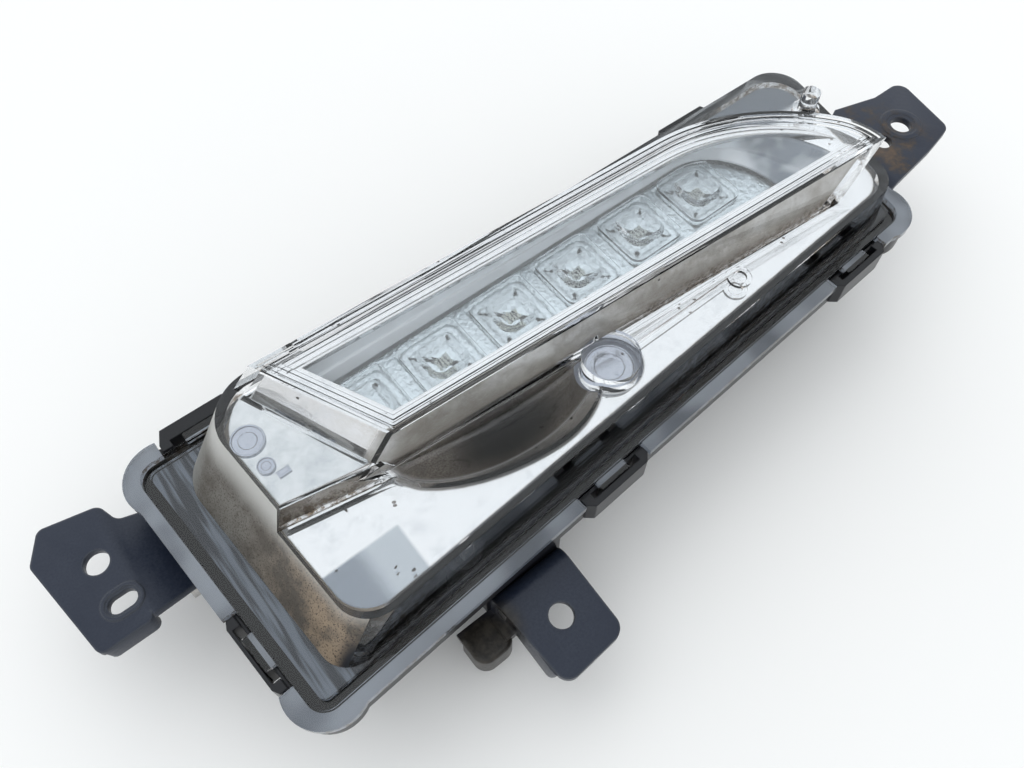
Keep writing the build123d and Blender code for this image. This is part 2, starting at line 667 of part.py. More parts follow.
# Stepped frame between the window opening and the optic
frame_low = OPTIC_Z + OPTIC_T
ledge = (FRAME_LEDGE - frame_low) / (FRAME_TOP - frame_low)
frame = between(blend_face(0, -FRAME_T), frame_low, blend_face(1, 0), FRAME_TOP)
frame -= between(blend_face(0, 0), frame_low, blend_face(FRAME_LEDGE_PART, 0), FRAME_LEDGE)
frame -= between(blend_face(ledge, 0), FRAME_LEDGE, blend_face(1, FRAME_T), FRAME_TOP)
nodes["window_frame"] = frame

# Clear optic with one tile and one pillow lenslet over each light
optic = prism(blend_face(0, -FRAME_T), OPTIC_Z, frame_low)
for x, y in LED_SPOTS:
    tile = Pos(x, y) * RectangleRounded(TILE_LENGTH, TILE_WIDTH, TILE_R)
    pillow = Pos(x, y) * RectangleRounded(
        LENSLET_LENGTH, TILE_WIDTH - 2 * LENSLET_MARGIN, min(LENSLET_R, LENSLET_LENGTH / 3)
    )
    top = frame_low + TILE_RAISE
    raised = prism(tile, frame_low - FUSE, top)
    raised += between(pillow, top - FUSE, offset(pillow, amount=-LENSLET_RAISE), top + LENSLET_RAISE)
    optic += raised & prism(blend_face(0, FRAME_T), 0, TOWER_H)
nodes["inner_optic"] = optic

# Reflector tray with a square cup over each light
tray = prism(blend_face(0, 0), BOARD_TOP, OPTIC_Z)
for x, y in LED_SPOTS:
    base = Pos(x, y) * Rectangle(CUP_BASE, CUP_BASE)
    mouth = Pos(x, y) * Rectangle(LED_PITCH - 2 * CUP_WALL, CUP_WIDTH)
    cup = between(base, BOARD_TOP, mouth, OPTIC_Z)
    tray -= cup & prism(blend_face(0, CUP_EDGE), 0, TOWER_H)
nodes["reflector_tray"] = tray

# Light board, its lights, the pad and the finned heat sink
plate = Pos(BOARD_X, BOARD_Y) * RectangleRounded(BOARD_LENGTH, BOARD_WIDTH, BOARD_CORNER_R)
small_bore = SMALL_SCREW_R + SCREW_CLEARANCE
for x, y in POST_SPOTS:
    plate -= Pos(x, y) * Circle(small_bore)
nodes["led_board"] = prism(plate, BOARD_TOP - BOARD_T, BOARD_TOP)
lights = []
for x, y in LED_SPOTS:
    light = prism(Pos(x, y) * Rectangle(LED_SIZE, LED_SIZE), BOARD_TOP, BOARD_TOP + LED_H)
    dome_z = FLANGE_Z + BOARD_TOP + LED_H + LED_DOME_H / 2
    lights.append(light + Pos(x, y, dome_z) * Cone(LED_DOME_R, LED_DOME_TOP_R, LED_DOME_H))
nodes["led_chips"] = Compound(children=lights)
sink_top = SINK_BOTTOM + SINK_T
pad_face = Pos(BOARD_X, BOARD_Y) * Rectangle(BOARD_LENGTH - 2 * PAD_MARGIN, BOARD_WIDTH - PAD_MARGIN)
nodes["thermal_pad"] = prism(pad_face, sink_top, sink_top + PAD_T)
sink = prism(plate, SINK_BOTTOM, sink_top)
for i in range(FIN_COUNT):
    x = BOARD_X + (2 * i / (FIN_COUNT - 1) - 1) * (POST_X - FIN_GAP)
    fin = Pos(x, BOARD_Y) * Rectangle(FIN_T, BOARD_WIDTH - FIN_GAP)
    sink += prism(fin, SINK_BOTTOM - FIN_H, SINK_BOTTOM)
nodes["heat_sink"] = sink

# Screws of the board and of the bezel
small_screw = screw(SMALL_SCREW_R, SMALL_SCREW_DEPTH, SMALL_HEAD_R, SMALL_HEAD_H)
board_depth = SMALL_SCREW_DEPTH + BOARD_TOP - SINK_BOTTOM - BORE_SPARE
board_screw = screw(SMALL_SCREW_R, board_depth, SMALL_HEAD_R, SMALL_HEAD_H)
nodes["board_screws"] = Compound(
    children=[Pos(x, y, FLANGE_Z + BOARD_TOP) * board_screw for x, y in POST_SPOTS]
)
nodes["bezel_screws"] = Compound(
    children=[Pos(x, y, FLANGE_Z + seat) * Rot(180, 0, 0) * small_screw for x, y in LEG_SPOTS]
)

# Connector socket with its seal, blades, header and wires
neck_face = Rectangle(SOCKET_LENGTH - 2 * SOCKET_WALL, SOCKET_HEIGHT - 2 * SOCKET_WALL)
shroud_face = RectangleRounded(SOCKET_LENGTH, SOCKET_HEIGHT, SOCKET_CORNER_R)
flange_face = offset(shroud_face, amount=SOCKET_FLANGE_RIM)
blade_face = Pos(-BLADE_SPACING / 2, 0) * Rectangle(BLADE_T, BLADE_W)
blade_face += Pos(BLADE_SPACING / 2, 0) * Rectangle(BLADE_T, BLADE_W)
out = Plane(origin=(SOCKET_X, socket_y, SOCKET_Z), x_dir=(-1, 0, 0), z_dir=(0, 1, 0))
nodes["connector_seal"] = out * extrude(flange_face - neck_face, amount=SEAL_T)
socket = extrude(Pos(0, 0, -SOCKET_NECK) * neck_face, amount=SOCKET_NECK + SEAL_T)
socket += extrude(Pos(0, 0, SEAL_T) * flange_face, amount=SOCKET_FLANGE)
socket += extrude(Pos(0, 0, SEAL_T) * shroud_face, amount=SOCKET_REACH)
socket -= extrude(Pos(0, 0, SEAL_T + SOCKET_FLOOR) * neck_face, amount=SOCKET_REACH)
blades = extrude(
    Pos(0, 0, -SOCKET_NECK - BLADE_TAIL) * blade_face,
    amount=SOCKET_NECK + BLADE_TAIL + SEAL_T + SOCKET_REACH - BLADE_TIP,
)
nodes["connector_socket"] = out * (socket - blades)
nodes["connector_pins"] = Compound(children=[out * blade for blade in blades.solids()])
header_z = FLANGE_Z + BOARD_TOP
header_x = BOARD_X - BOARD_LENGTH / 2 + HEADER_MARGIN
header = slab(
    header_x, header_x + HEADER_WIDTH,
    HEADER_Y - HEADER_LENGTH / 2, HEADER_Y + HEADER_LENGTH / 2,
    header_z, header_z + HEADER_H,
)
nodes["board_header"] = header
wires = []
wire_z = SHALLOW_Z + WALL + WIRE_FLOOR_GAP
for sign in (-1, 1):
    start = Vector(header_x, HEADER_Y + sign * WIRE_SPACING / 2, header_z + HEADER_H / 2)
    end = Vector(SOCKET_X + sign * BLADE_SPACING / 2, socket_y - SOCKET_NECK - BLADE_TAIL, SOCKET_Z)
    path = Polyline(
        start,
        (start.X - WIRE_REACH, start.Y, start.Z),
        (start.X - WIRE_REACH, start.Y, wire_z),
        (end.X, start.Y, wire_z),
        (end.X, end.Y - WIRE_TURN, end.Z),
        end,
    )
    section = Plane(origin=start, z_dir=(-1, 0, 0)) * Circle(WIRE_R)
    wires.append(sweep(section, path=path, transition=Transition.RIGHT))
nodes["lead_wires"] = Compound(children=wires)

# Breather cap under the shallow end of the housing
vent = post(VENT_X, VENT_Y, VENT_R, SHALLOW_Z - VENT_H - FLANGE_Z, SHALLOW_Z - FLANGE_Z)
vent += post(VENT_X, VENT_Y, VENT_STEM_R, SHALLOW_Z - FLANGE_Z, SHALLOW_Z + WALL - FLANGE_Z)
nodes["breather_cap"] = vent

# Left bracket, its web falling from the plate to the leg
plate_mid = LEFT_PLATE_Z - SHEET / 2
path = FilletPolyline(
    (-FLANGE_LENGTH, plate_mid),
    (-LEFT_BEND, plate_mid),
    (-SHEET / 2, plate_mid - LEFT_DROP),
    (-SHEET / 2, LEG_BOTTOM_Z),
    radius=BEND_R,
)
strip = extrude(Plane.XZ * trace(path, SHEET), amount=FLANGE_LENGTH, both=True)
outline = make_face(
    Polyline(
        (-28.7, 46), (-34.5, 37.4), (-30, 5), (-18.5, 5.5), (0, 9), (0, 35), (-10.7, 36.4), (-12.6, 42.4),
        close=True,
    )
)
outline = fillet(outline.vertices().sort_by(Axis.X)[:-2], SHEET)
bracket = strip & extrude(outline, amount=FLANGE_Z)
slot_at = Pos(-LEFT_SLOT_REACH, LEFT_SLOT_Y)
emboss = SlotOverall(SLOT_LENGTH + EMBOSS_GAP, SLOT_WIDTH + EMBOSS_GAP)
emboss = offset(emboss, amount=EMBOSS_WIDTH / 2) - emboss
bracket += extrude(Pos(0, 0, LEFT_PLATE_Z) * slot_at * emboss, amount=EMBOSS_H)
bracket -= extrude(slot_at * SlotOverall(SLOT_LENGTH, SLOT_WIDTH), amount=FLANGE_Z)
bracket -= extrude(Pos(-LEFT_HOLE_REACH, LEFT_HOLE_Y) * Circle(BOLT_HOLE_R), amount=FLANGE_Z)
skirt_at = Pos(-LEFT_SKIRT_REACH, LEFT_SKIRT_Y, LEFT_PLATE_Z - SKIRT_DROP / 2)
bracket += skirt_at * Box(LEFT_BEND, SHEET, SKIRT_DROP)
bracket = Pos(LEFT_LEG_X, 0, 0) * bracket
for place in LEFT_SCREWS:
    bracket -= place * Cylinder(screw_bore, 4 * SHEET)
nodes["left_bracket"] = bracket

# Right bracket
plate_mid = RIGHT_PLATE_Z - SHEET / 2
path = FilletPolyline(
    (FLANGE_LENGTH, plate_mid),
    (RIGHT_BEND, plate_mid),
    (SHEET / 2, plate_mid - RIGHT_DROP),
    (SHEET / 2, LEG_BOTTOM_Z),
    radius=BEND_R,
)
strip = extrude(Plane.XZ * trace(path, SHEET), amount=FLANGE_LENGTH, both=True)
outline = make_face(
    Polyline(
        (0, -18), (9.5, -19), (31, -16.2), (44.4, -13.5), (49.3, 11.5), (36, 11.7), (20.4, 16.3), (0, 7.5),
        close=True,
    )
)
outline = fillet(outline.vertices().sort_by(Axis.X)[-2:], PLATE_CORNER_R)
bracket = strip & extrude(outline, amount=FLANGE_Z)
hole_at = Pos(RIGHT_HOLE_REACH, RIGHT_HOLE_Y)
emboss = Circle(BOLT_HOLE_R + EMBOSS_GAP + EMBOSS_WIDTH) - Circle(BOLT_HOLE_R + EMBOSS_GAP)
bracket += extrude(Pos(0, 0, RIGHT_PLATE_Z) * hole_at * emboss, amount=EMBOSS_H)
bracket -= extrude(hole_at * Circle(BOLT_HOLE_R), amount=FLANGE_Z)
bracket -= extrude(Pos(RIGHT_SMALL_HOLE_REACH, RIGHT_SMALL_HOLE_Y) * Circle(SMALL_HOLE_R), amount=FLANGE_Z)
bracket = Pos(RIGHT_LEG_X, 0, 0) * bracket
for place in RIGHT_SCREWS:
    bracket -= place * Cylinder(screw_bore, 4 * SHEET)
nodes["right_bracket"] = bracket

# Lower bracket, its plate falling away from the lamp, with one edge turned down and a lug beside it
plate_mid = LOWER_PLATE_Z - SHEET / 2
fall = tan(radians(LOWER_TILT))
path = FilletPolyline(
    (-SHEET / 2, LEG_BOTTOM_Z),
    (-SHEET / 2, plate_mid),
    (-SHEET / 2 - FLANGE_LENGTH, plate_mid - FLANGE_LENGTH * fall),
    radius=BEND_R,
)
strip = extrude(Plane.YZ * trace(path, SHEET), amount=FLANGE_LENGTH, both=True)
outline = make_face(
    Polyline((-11.5, 0), (-11, -6.8), (-9.5, -29.5), (11.4, -28.1), (11.7, 0), close=True)
)
outline = fillet(outline.vertices().sort_by(Axis.Y)[0:2], PLATE_CORNER_R)
bracket = strip & extrude(outline, amount=FLANGE_Z)
hole_z = plate_mid - (LOWER_HOLE_REACH - SHEET / 2) * fall
tilt = Pos(0, -LOWER_HOLE_REACH, hole_z) * Rot(LOWER_TILT, 0, 0)
skirt_at = Pos(-LOWER_SKIRT_SHIFT, -SHEET, -LOWER_SKIRT_DROP / 2)
bracket += tilt * skirt_at * Box(SHEET, LOWER_SKIRT_LENGTH, LOWER_SKIRT_DROP)
lug_z = LEG_BOTTOM_Z + SHEET
lug_x = -LUG_SHIFT - LUG_LENGTH
lug = slab(lug_x, -LUG_SHIFT, -LUG_REACH, -SHEET, lug_z - LUG_H, lug_z)
lug = fillet(lug.edges().filter_by(Axis.Z).group_by(Axis.Y)[0], PLATE_CORNER_R)
bracket += fillet(lug.faces().sort_by(Axis.Z)[-1].edges().group_by(Axis.Y)[0], SHEET / 2)
bracket += slab(lug_x, -LUG_SHIFT + SHEET, -SHEET, 0, LEG_BOTTOM_Z, lug_z)
bracket -= tilt * Pos(LOWER_HOLE_SHIFT, 0, 0) * Cylinder(BOLT_HOLE_R, LUG_LENGTH)
bracket = Pos(LOWER_LEG_X, LOWER_LEG_Y, 0) * bracket
for place in LOWER_SCREWS:
    bracket -= place * Cylinder(screw_bore, 4 * SHEET)
nodes["lower_bracket"] = bracket

# Screws of the three brackets
big_screw = screw(SCREW_R, SCREW_DEPTH, SCREW_HEAD_R, SCREW_HEAD_H)
nodes["bracket_screws"] = Compound(
    children=[place * Pos(0, 0, SHEET) * big_screw for place in BRACKET_SCREWS]
)

os.makedirs("parts", exist_ok=True)
for name, shape in nodes.items():
    export_step(shape, f"parts/{name}.step")
    print(name, len(shape.solids()), round(shape.volume), shape.is_valid)
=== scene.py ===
# %% [markdown]
# A daytime running light, dressed for its photograph
#
# The solids of this lamp were made as CAD parts: a clear front lens, a bright bezel, six lights
# under a clear optic, a black housing and three pressed steel brackets. This lesson gives them
# their finishes, adds the small pieces that catch the eye, and lights the lamp on a pale floor.

# %% Load the solids as the fixed frame
import bpy
from math import radians
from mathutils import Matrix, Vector


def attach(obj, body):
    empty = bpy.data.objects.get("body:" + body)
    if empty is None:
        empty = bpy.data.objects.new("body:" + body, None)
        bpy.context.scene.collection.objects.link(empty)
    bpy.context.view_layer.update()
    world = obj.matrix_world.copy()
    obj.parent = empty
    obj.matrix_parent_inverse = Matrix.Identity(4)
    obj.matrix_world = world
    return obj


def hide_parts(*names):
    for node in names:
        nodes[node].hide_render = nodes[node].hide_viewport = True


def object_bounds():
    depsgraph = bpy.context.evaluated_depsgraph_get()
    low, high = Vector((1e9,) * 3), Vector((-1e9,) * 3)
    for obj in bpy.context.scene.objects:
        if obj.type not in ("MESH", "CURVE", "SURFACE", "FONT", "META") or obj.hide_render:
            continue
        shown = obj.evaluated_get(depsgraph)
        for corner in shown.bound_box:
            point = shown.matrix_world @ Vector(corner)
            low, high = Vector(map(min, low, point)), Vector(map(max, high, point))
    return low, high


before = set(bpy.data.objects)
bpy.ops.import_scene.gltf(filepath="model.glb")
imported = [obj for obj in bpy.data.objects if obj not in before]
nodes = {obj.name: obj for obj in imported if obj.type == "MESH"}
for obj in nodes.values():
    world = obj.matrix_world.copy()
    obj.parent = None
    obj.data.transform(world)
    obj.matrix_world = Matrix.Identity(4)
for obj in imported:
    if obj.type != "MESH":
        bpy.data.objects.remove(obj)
cad_low, cad_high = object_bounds()
print("solids:", len(nodes), "box:", [round(v, 4) for v in (*cad_low, *cad_high)])

# %% [markdown]
# Every finish below is a tree of shader nodes. Such a tree can be wired by hand in the shader
# editor, but in a script small helpers keep it readable: one puts a node in a tree and fills its
# sockets, another joins two sockets, and others start a material or a group, or place a group in
# a material.

# %% Helpers for shader trees
def put(tree, kind, sockets=None, **settings):
    made = tree.nodes.new(kind)
    for name, value in settings.items():
        setattr(made, name, value)
    for name, value in (sockets or {}).items():
        made.inputs[name].default_value = value
    return made


def join(tree, out_socket, in_socket):
    tree.links.new(out_socket, in_socket)


def start_material(name, **sockets):
    material = bpy.data.materials.new(name)
    material.use_nodes = True
    tree = material.node_tree
    tree.nodes.clear()
    output = put(tree, "ShaderNodeOutputMaterial")
    shader = put(tree, "ShaderNodeBsdfPrincipled")
    for key, value in sockets.items():
        shader.inputs[key.replace("_", " ")].default_value = value
    join(tree, shader.outputs["BSDF"], output.inputs["Surface"])
    return material, tree, shader, output


def start_group(name, inputs, outputs):
    tree = bpy.data.node_groups.new(name, "ShaderNodeTree")
    for key, value in inputs.items():
        socket = tree.interface.new_socket(key, in_out="INPUT", socket_type="NodeSocketFloat")
        socket.default_value = value
    for key, kind in outputs.items():
        tree.interface.new_socket(key, in_out="OUTPUT", socket_type=kind)
    return tree, put(tree, "NodeGroupInput"), put(tree, "NodeGroupOutput")


def use_group(tree, group, **sockets):
    made = put(tree, "ShaderNodeGroup", node_tree=group)
    for key, value in sockets.items():
        made.inputs[key.replace("_", " ")].default_value = value
    return made


print("helpers for trees, materials and groups ready")

# %% [markdown]
# Some steps come up in nearly every finish: blending two colours, turning a stretch of values into
# a mask, multiplying two masks or taking the stronger, reading a place or a noise, and marking a
# round patch. Each is one or a few nodes, so each gets a helper too.

# %% Helpers for colours and masks
def blend(tree, factor, a, b):
    mix = put(tree, "ShaderNodeMix", data_type="RGBA")
    join(tree, factor, mix.inputs["Factor"])
    for name, value in (("A", a), ("B", b)):
        if isinstance(value, tuple):
            mix.inputs[name].default_value = value
        else:
            join(tree, value, mix.inputs[name])
    return mix.outputs["Result"]


def band(tree, value, start, end, low=0.0, high=1.0):
    made = put(tree, "ShaderNodeMapRange", clamp=True, interpolation_type="SMOOTHSTEP")
    for name, number in (("From Min", start), ("From Max", end), ("To Min", low), ("To Max", high)):
        made.inputs[name].default_value = number
    join(tree, value, made.inputs["Value"])
    return made.outputs["Result"]


def times(tree, a, b):
    made = put(tree, "ShaderNodeMath", operation="MULTIPLY")
    join(tree, a, made.inputs[0])
    join(tree, b, made.inputs[1])
    return made.outputs["Value"]


def either(tree, a, b):
    made = put(tree, "ShaderNodeMath", operation="MAXIMUM")
    join(tree, a, made.inputs[0])
    join(tree, b, made.inputs[1])
    return made.outputs["Value"]


def where(tree):
    place = put(tree, "ShaderNodeTexCoord")
    split = put(tree, "ShaderNodeSeparateXYZ")
    join(tree, place.outputs["Object"], split.inputs["Vector"])
    return place.outputs["Object"], split.outputs["X"], split.outputs["Y"], split.outputs["Z"]


def noise(tree, spot, scale, detail, roughness=0.7):
    sockets = {"Scale": scale, "Detail": detail, "Roughness": roughness}
    made = put(tree, "ShaderNodeTexNoise", sockets)
    join(tree, spot, made.inputs["Vector"])
    return made.outputs["Fac"]


def patch(tree, spot, centre, reach, soft=0.08):
    any_height = 100.0
    moved = put(tree, "ShaderNodeVectorMath", operation="SUBTRACT")
    shrunk = put(tree, "ShaderNodeVectorMath", operation="DIVIDE")
    far = put(tree, "ShaderNodeVectorMath", operation="LENGTH")
    moved.inputs[1].default_value = (*centre, 0.0)
    shrunk.inputs[1].default_value = (*reach, any_height)
    join(tree, spot, moved.inputs[0])
    join(tree, moved.outputs["Vector"], shrunk.inputs[0])
    join(tree, shrunk.outputs["Vector"], far.inputs[0])
    return band(tree, far.outputs["Value"], 1.0 + soft, 1.0 - soft)


print("helpers for colours and masks ready")

# %% [markdown]
# No moulded or pressed edge on the real lamp is knife sharp. A Bevel node reads a rounded normal
# from the neighbouring faces, so an edge catches a line of light without any new faces. A little
# noise on top gives the slight unevenness of moulded plastic or of a sprayed coat. Where the
# rounded normal differs from the plain one there is an edge, and a coat wears off first at edges.

# %% Shared group: rounded, slightly uneven surface
soft_edge, given, result = start_group(
    "soft edge",
    {"Radius": 0.0005, "Ripple Scale": 60.0, "Ripple": 0.1},
    {"Normal": "NodeSocketVector", "Edge": "NodeSocketFloat"},
)
place = put(soft_edge, "ShaderNodeTexCoord")
ripple = put(soft_edge, "ShaderNodeTexNoise", {"Detail": 3.0, "Roughness": 0.6})
rounded = put(soft_edge, "ShaderNodeBevel", samples=4)
bump = put(soft_edge, "ShaderNodeBump", {"Distance": 0.001})
join(soft_edge, place.outputs["Object"], ripple.inputs["Vector"])
join(soft_edge, given.outputs["Ripple Scale"], ripple.inputs["Scale"])
join(soft_edge, given.outputs["Radius"], rounded.inputs["Radius"])
join(soft_edge, ripple.outputs["Fac"], bump.inputs["Height"])
join(soft_edge, given.outputs["Ripple"], bump.inputs["Strength"])
join(soft_edge, rounded.outputs["Normal"], bump.inputs["Normal"])
join(soft_edge, bump.outputs["Normal"], result.inputs["Normal"])
surface = put(soft_edge, "ShaderNodeNewGeometry")
agree = put(soft_edge, "ShaderNodeVectorMath", operation="DOT_PRODUCT")
join(soft_edge, surface.outputs["Normal"], agree.inputs[0])
join(soft_edge, rounded.outputs["Normal"], agree.inputs[1])
join(soft_edge, band(soft_edge, agree.outputs["Value"], 0.995, 0.9), result.inputs["Edge"])
print("group:", soft_edge.name)

# %% [markdown]
# The lamp has been on a car: fine dust lies in drifts, thicker in some places than in others. It
# could be painted on, but noise on Object coordinates fits every piece and needs no unwrapping.
# One broad noise says where the drifts are, a very fine one breaks them into grains.

# %% Shared group: drifts of dust
dust, given, result = start_group(
    "dust",
    {"Drift Scale": 25.0, "Grain Scale": 2500.0, "Amount": 0.5},
    {"Mask": "NodeSocketFloat"},
)
place = put(dust, "ShaderNodeTexCoord")
drift = put(dust, "ShaderNodeTexNoise", {"Detail": 5.0, "Roughness": 0.65})
grain = put(dust, "ShaderNodeTexNoise", {"Detail": 2.0, "Roughness": 0.7})
cover = put(dust, "ShaderNodeMapRange", {"From Min": 0.38, "From Max": 0.68}, clamp=True)
broken = put(dust, "ShaderNodeMapRange", {"From Min": 0.3, "From Max": 0.65}, clamp=True)
join(dust, place.outputs["Object"], drift.inputs["Vector"])
join(dust, place.outputs["Object"], grain.inputs["Vector"])
join(dust, given.outputs["Drift Scale"], drift.inputs["Scale"])
join(dust, given.outputs["Grain Scale"], grain.inputs["Scale"])
join(dust, drift.outputs["Fac"], cover.inputs["Value"])
join(dust, grain.outputs["Fac"], broken.inputs["Value"])
both = times(dust, cover.outputs["Result"], broken.outputs["Result"])
join(dust, times(dust, both, given.outputs["Amount"]), result.inputs["Mask"])
print("group:", dust.name)

# %% [markdown]
# Grit shows as separate dark specks. Noise gives clouds and not dots, so Voronoi cells are used,
# with one dot each. A random value per cell keeps only some of the dots, and a fine noise makes
# their outlines uneven, so that they don't look like a printed pattern.

# %% Shared group: scattered specks
specks, given, result = start_group(
    "specks",
    {"Scale": 220.0, "Size": 0.12, "Share": 0.25},
    {"Mask": "NodeSocketFloat"},
)
place = put(specks, "ShaderNodeTexCoord")
cells = put(specks, "ShaderNodeTexVoronoi", {"Randomness": 1.0})
wobble = put(specks, "ShaderNodeTexNoise", {"Scale": 900.0, "Detail": 1.0})
dot = put(specks, "ShaderNodeMath", operation="LESS_THAN")
pick = put(specks, "ShaderNodeSeparateColor")
kept = put(specks, "ShaderNodeMath", operation="LESS_THAN")
join(specks, place.outputs["Object"], cells.inputs["Vector"])
join(specks, place.outputs["Object"], wobble.inputs["Vector"])
join(specks, given.outputs["Scale"], cells.inputs["Scale"])
edge = times(specks, wobble.outputs["Fac"], given.outputs["Size"])
join(specks, cells.outputs["Distance"], dot.inputs[0])
join(specks, edge, dot.inputs[1])
join(specks, cells.outputs["Color"], pick.inputs["Color"])
join(specks, pick.outputs["Red"], kept.inputs[0])
join(specks, given.outputs["Share"], kept.inputs[1])
both = times(specks, dot.outputs["Value"], kept.outputs["Value"])
join(specks, both, result.inputs["Mask"])
print("group:", specks.name)

# %% [markdown]
# Bright film on plastic hides nothing: flat tops mirror the sky and stay nearly white, while the
# upright walls keep a beige film of fine dust. The mask below reads how upright a face is from the
# surface normal, so the same material serves tops and walls.

# %% Shared group: how upright a face is
upright, given, result = start_group(
    "upright", {"Flat": 0.85, "Steep": 0.45}, {"Mask": "NodeSocketFloat"}
)
surface = put(upright, "ShaderNodeNewGeometry")
split = put(upright, "ShaderNodeSeparateXYZ")
lean = put(upright, "ShaderNodeMath", operation="ABSOLUTE")
ramp = put(upright, "ShaderNodeMapRange", clamp=True)
join(upright, surface.outputs["Normal"], split.inputs["Vector"])
join(upright, split.outputs["Z"], lean.inputs[0])
join(upright, lean.outputs["Value"], ramp.inputs["Value"])
join(upright, given.outputs["Flat"], ramp.inputs["From Min"])
join(upright, given.outputs["Steep"], ramp.inputs["From Max"])
join(upright, ramp.outputs["Result"], result.inputs["Mask"])
print("group:", upright.name)

# %% [markdown]
# A moulded clear wall is never quite flat, so what it mirrors wavers. A bump of slow noise does
# that. The rounded edges of the first group are left out here, because they make clear plastic
# very slow to render.

# %% Shared group: faint waves of a moulded surface
waves, given, result = start_group(
    "moulded waves", {"Ripple Scale": 30.0, "Ripple": 0.02}, {"Normal": "NodeSocketVector"}
)
place = put(waves, "ShaderNodeTexCoord")
ripple = put(waves, "ShaderNodeTexNoise", {"Detail": 3.0, "Roughness": 0.6})
bump = put(waves, "ShaderNodeBump", {"Distance": 0.001})
join(waves, place.outputs["Object"], ripple.inputs["Vector"])
join(waves, given.outputs["Ripple Scale"], ripple.inputs["Scale"])
join(waves, ripple.outputs["Fac"], bump.inputs["Height"])
join(waves, given.outputs["Ripple"], bump.inputs["Strength"])
join(waves, bump.outputs["Normal"], result.inputs["Normal"])
print("group:", waves.name)

# %% [markdown]
# The front lens is clear acrylic. A Principled shader with full transmission bends the light as
# the real wall does, and a transparent shadow lets the sun and sky light what lies behind it,
# which would otherwise need far more samples. The optic over the lights is rippled and faintly
# blue.

# %% Finish: clear acrylic
acrylic_ior = 1.49


def clear_material(name, tint, roughness, haze, ripple_scale, ripple, clear=1.0):
    material, tree, shader, output = start_material(
        name, Base_Color=tint, Roughness=roughness, IOR=acrylic_ior, Transmission_Weight=clear
    )
    skin = use_group(tree, waves, Ripple_Scale=ripple_scale, Ripple=ripple)
    join(tree, skin.outputs["Normal"], shader.inputs["Normal"])
    film = use_group(tree, dust, Drift_Scale=40.0, Grain_Scale=500.0, Amount=1.0)
    dulled = band(tree, film.outputs["Mask"], 0.0, 1.0, roughness, roughness + haze)
    join(tree, dulled, shader.inputs["Roughness"])
    path = put(tree, "ShaderNodeLightPath")
    through = put(tree, "ShaderNodeBsdfTransparent", {"Color": tint})
    mix = put(tree, "ShaderNodeMixShader")
    join(tree, path.outputs["Is Shadow Ray"], mix.inputs["Fac"])
    join(tree, shader.outputs["BSDF"], mix.inputs[1])
    join(tree, through.outputs["BSDF"], mix.inputs[2])
    join(tree, mix.outputs["Shader"], output.inputs["Surface"])
    return material, tree, shader


lens_tint = (0.985, 0.99, 0.995, 1.0)
optic_tint = (0.945, 0.98, 1.0, 1.0)
lens_clear, tree, shader = clear_material("clear lens acrylic", lens_tint, 0.01, 0.02, 30.0, 0.02)
optic_clear = clear_material("clear optic acrylic", optic_tint, 0.02, 0.04, 420.0, 0.4)[0]
print("materials:", lens_clear.name, "and", optic_clear.name)

# %% [markdown]
# Road dirt has settled where water runs off last: along the foot of the window tower and round the
# step of the plateau. On clear plastic it works like a brown stain, so it goes into the base
# colour of the same shader, in a band above the face and only on steep walls.

# %% Finish: road dirt at the foot of the tower
road_brown = (0.17, 0.115, 0.07, 1.0)
lens_grit = (0.05, 0.04, 0.035, 1.0)
foot_top, foot_low = 0.0606, 0.0568
spot, x, _, z = where(tree)
steep = use_group(tree, upright, Flat=0.97, Steep=0.8)
at_foot = times(tree, band(tree, z, foot_top, foot_low), steep.outputs["Mask"])
clots = band(tree, noise(tree, spot, 420.0, 6.0, 0.75), 0.44, 0.57)
at_ends = either(tree, band(tree, x, 0.002, 0.014), band(tree, x, -0.068, -0.076))
dirty = times(tree, times(tree, at_foot, clots), at_ends)
grit = use_group(tree, specks, Scale=330.0, Size=0.3, Share=0.05)
above_flange = times(tree, grit.outputs["Mask"], band(tree, z, 0.044, 0.052))
below_window = times(tree, above_flange, band(tree, z, 0.0612, 0.0596))
stain = blend(tree, dirty, lens_tint, road_brown)
stain = blend(tree, below_window, stain, lens_grit)
join(tree, stain, shader.inputs["Base Color"])
print("road dirt added to", lens_clear.name)

# %% [markdown]
# Outside, the left wall of the lens is covered with the same dirt as a thin taupe film: tan towards
# the lower end, paler towards the top and at the far end, with one dark spot at the lower corner.
# It is thin enough to see through in part, so this finish is the clear one with less transmission.

# %% Finish: dusty left wall of the lens
taupe_film, tan_film = (0.2, 0.19, 0.17, 1.0), (0.36, 0.27, 0.185, 1.0)
dark_clot, dark_grain = (0.1, 0.086, 0.07, 1.0), (0.06, 0.047, 0.035, 1.0)
pale_top, pale_end = (0.6, 0.6, 0.58, 1.0), (0.42, 0.42, 0.4, 1.0)
dark_spot = (0.012, 0.014, 0.02, 1.0)
lens_dusty, tree, shader = clear_material(
    "dusty lens wall", lens_tint, 0.35, 0.2, 30.0, 0.02, clear=0.3
)
spot, _, y, z = where(tree)
film = blend(tree, band(tree, y, 0.006, -0.03), taupe_film, tan_film)
clots = band(tree, noise(tree, spot, 70.0, 7.0, 0.72), 0.4, 0.62)
film = blend(tree, clots, film, dark_clot)
grains = band(tree, noise(tree, spot, 2200.0, 1.0, 0.5), 0.54, 0.66)
film = blend(tree, grains, film, dark_grain)
film = blend(tree, band(tree, z, 0.053, 0.061), film, pale_top)
film = blend(tree, band(tree, y, 0.02, 0.032), film, pale_end)
lower_corner = patch(tree, spot, (-0.0985, -0.0405), (0.005, 0.004), 0.45)
join(tree, blend(tree, lower_corner, film, dark_spot), shader.inputs["Base Color"])
print("material:", lens_dusty.name)

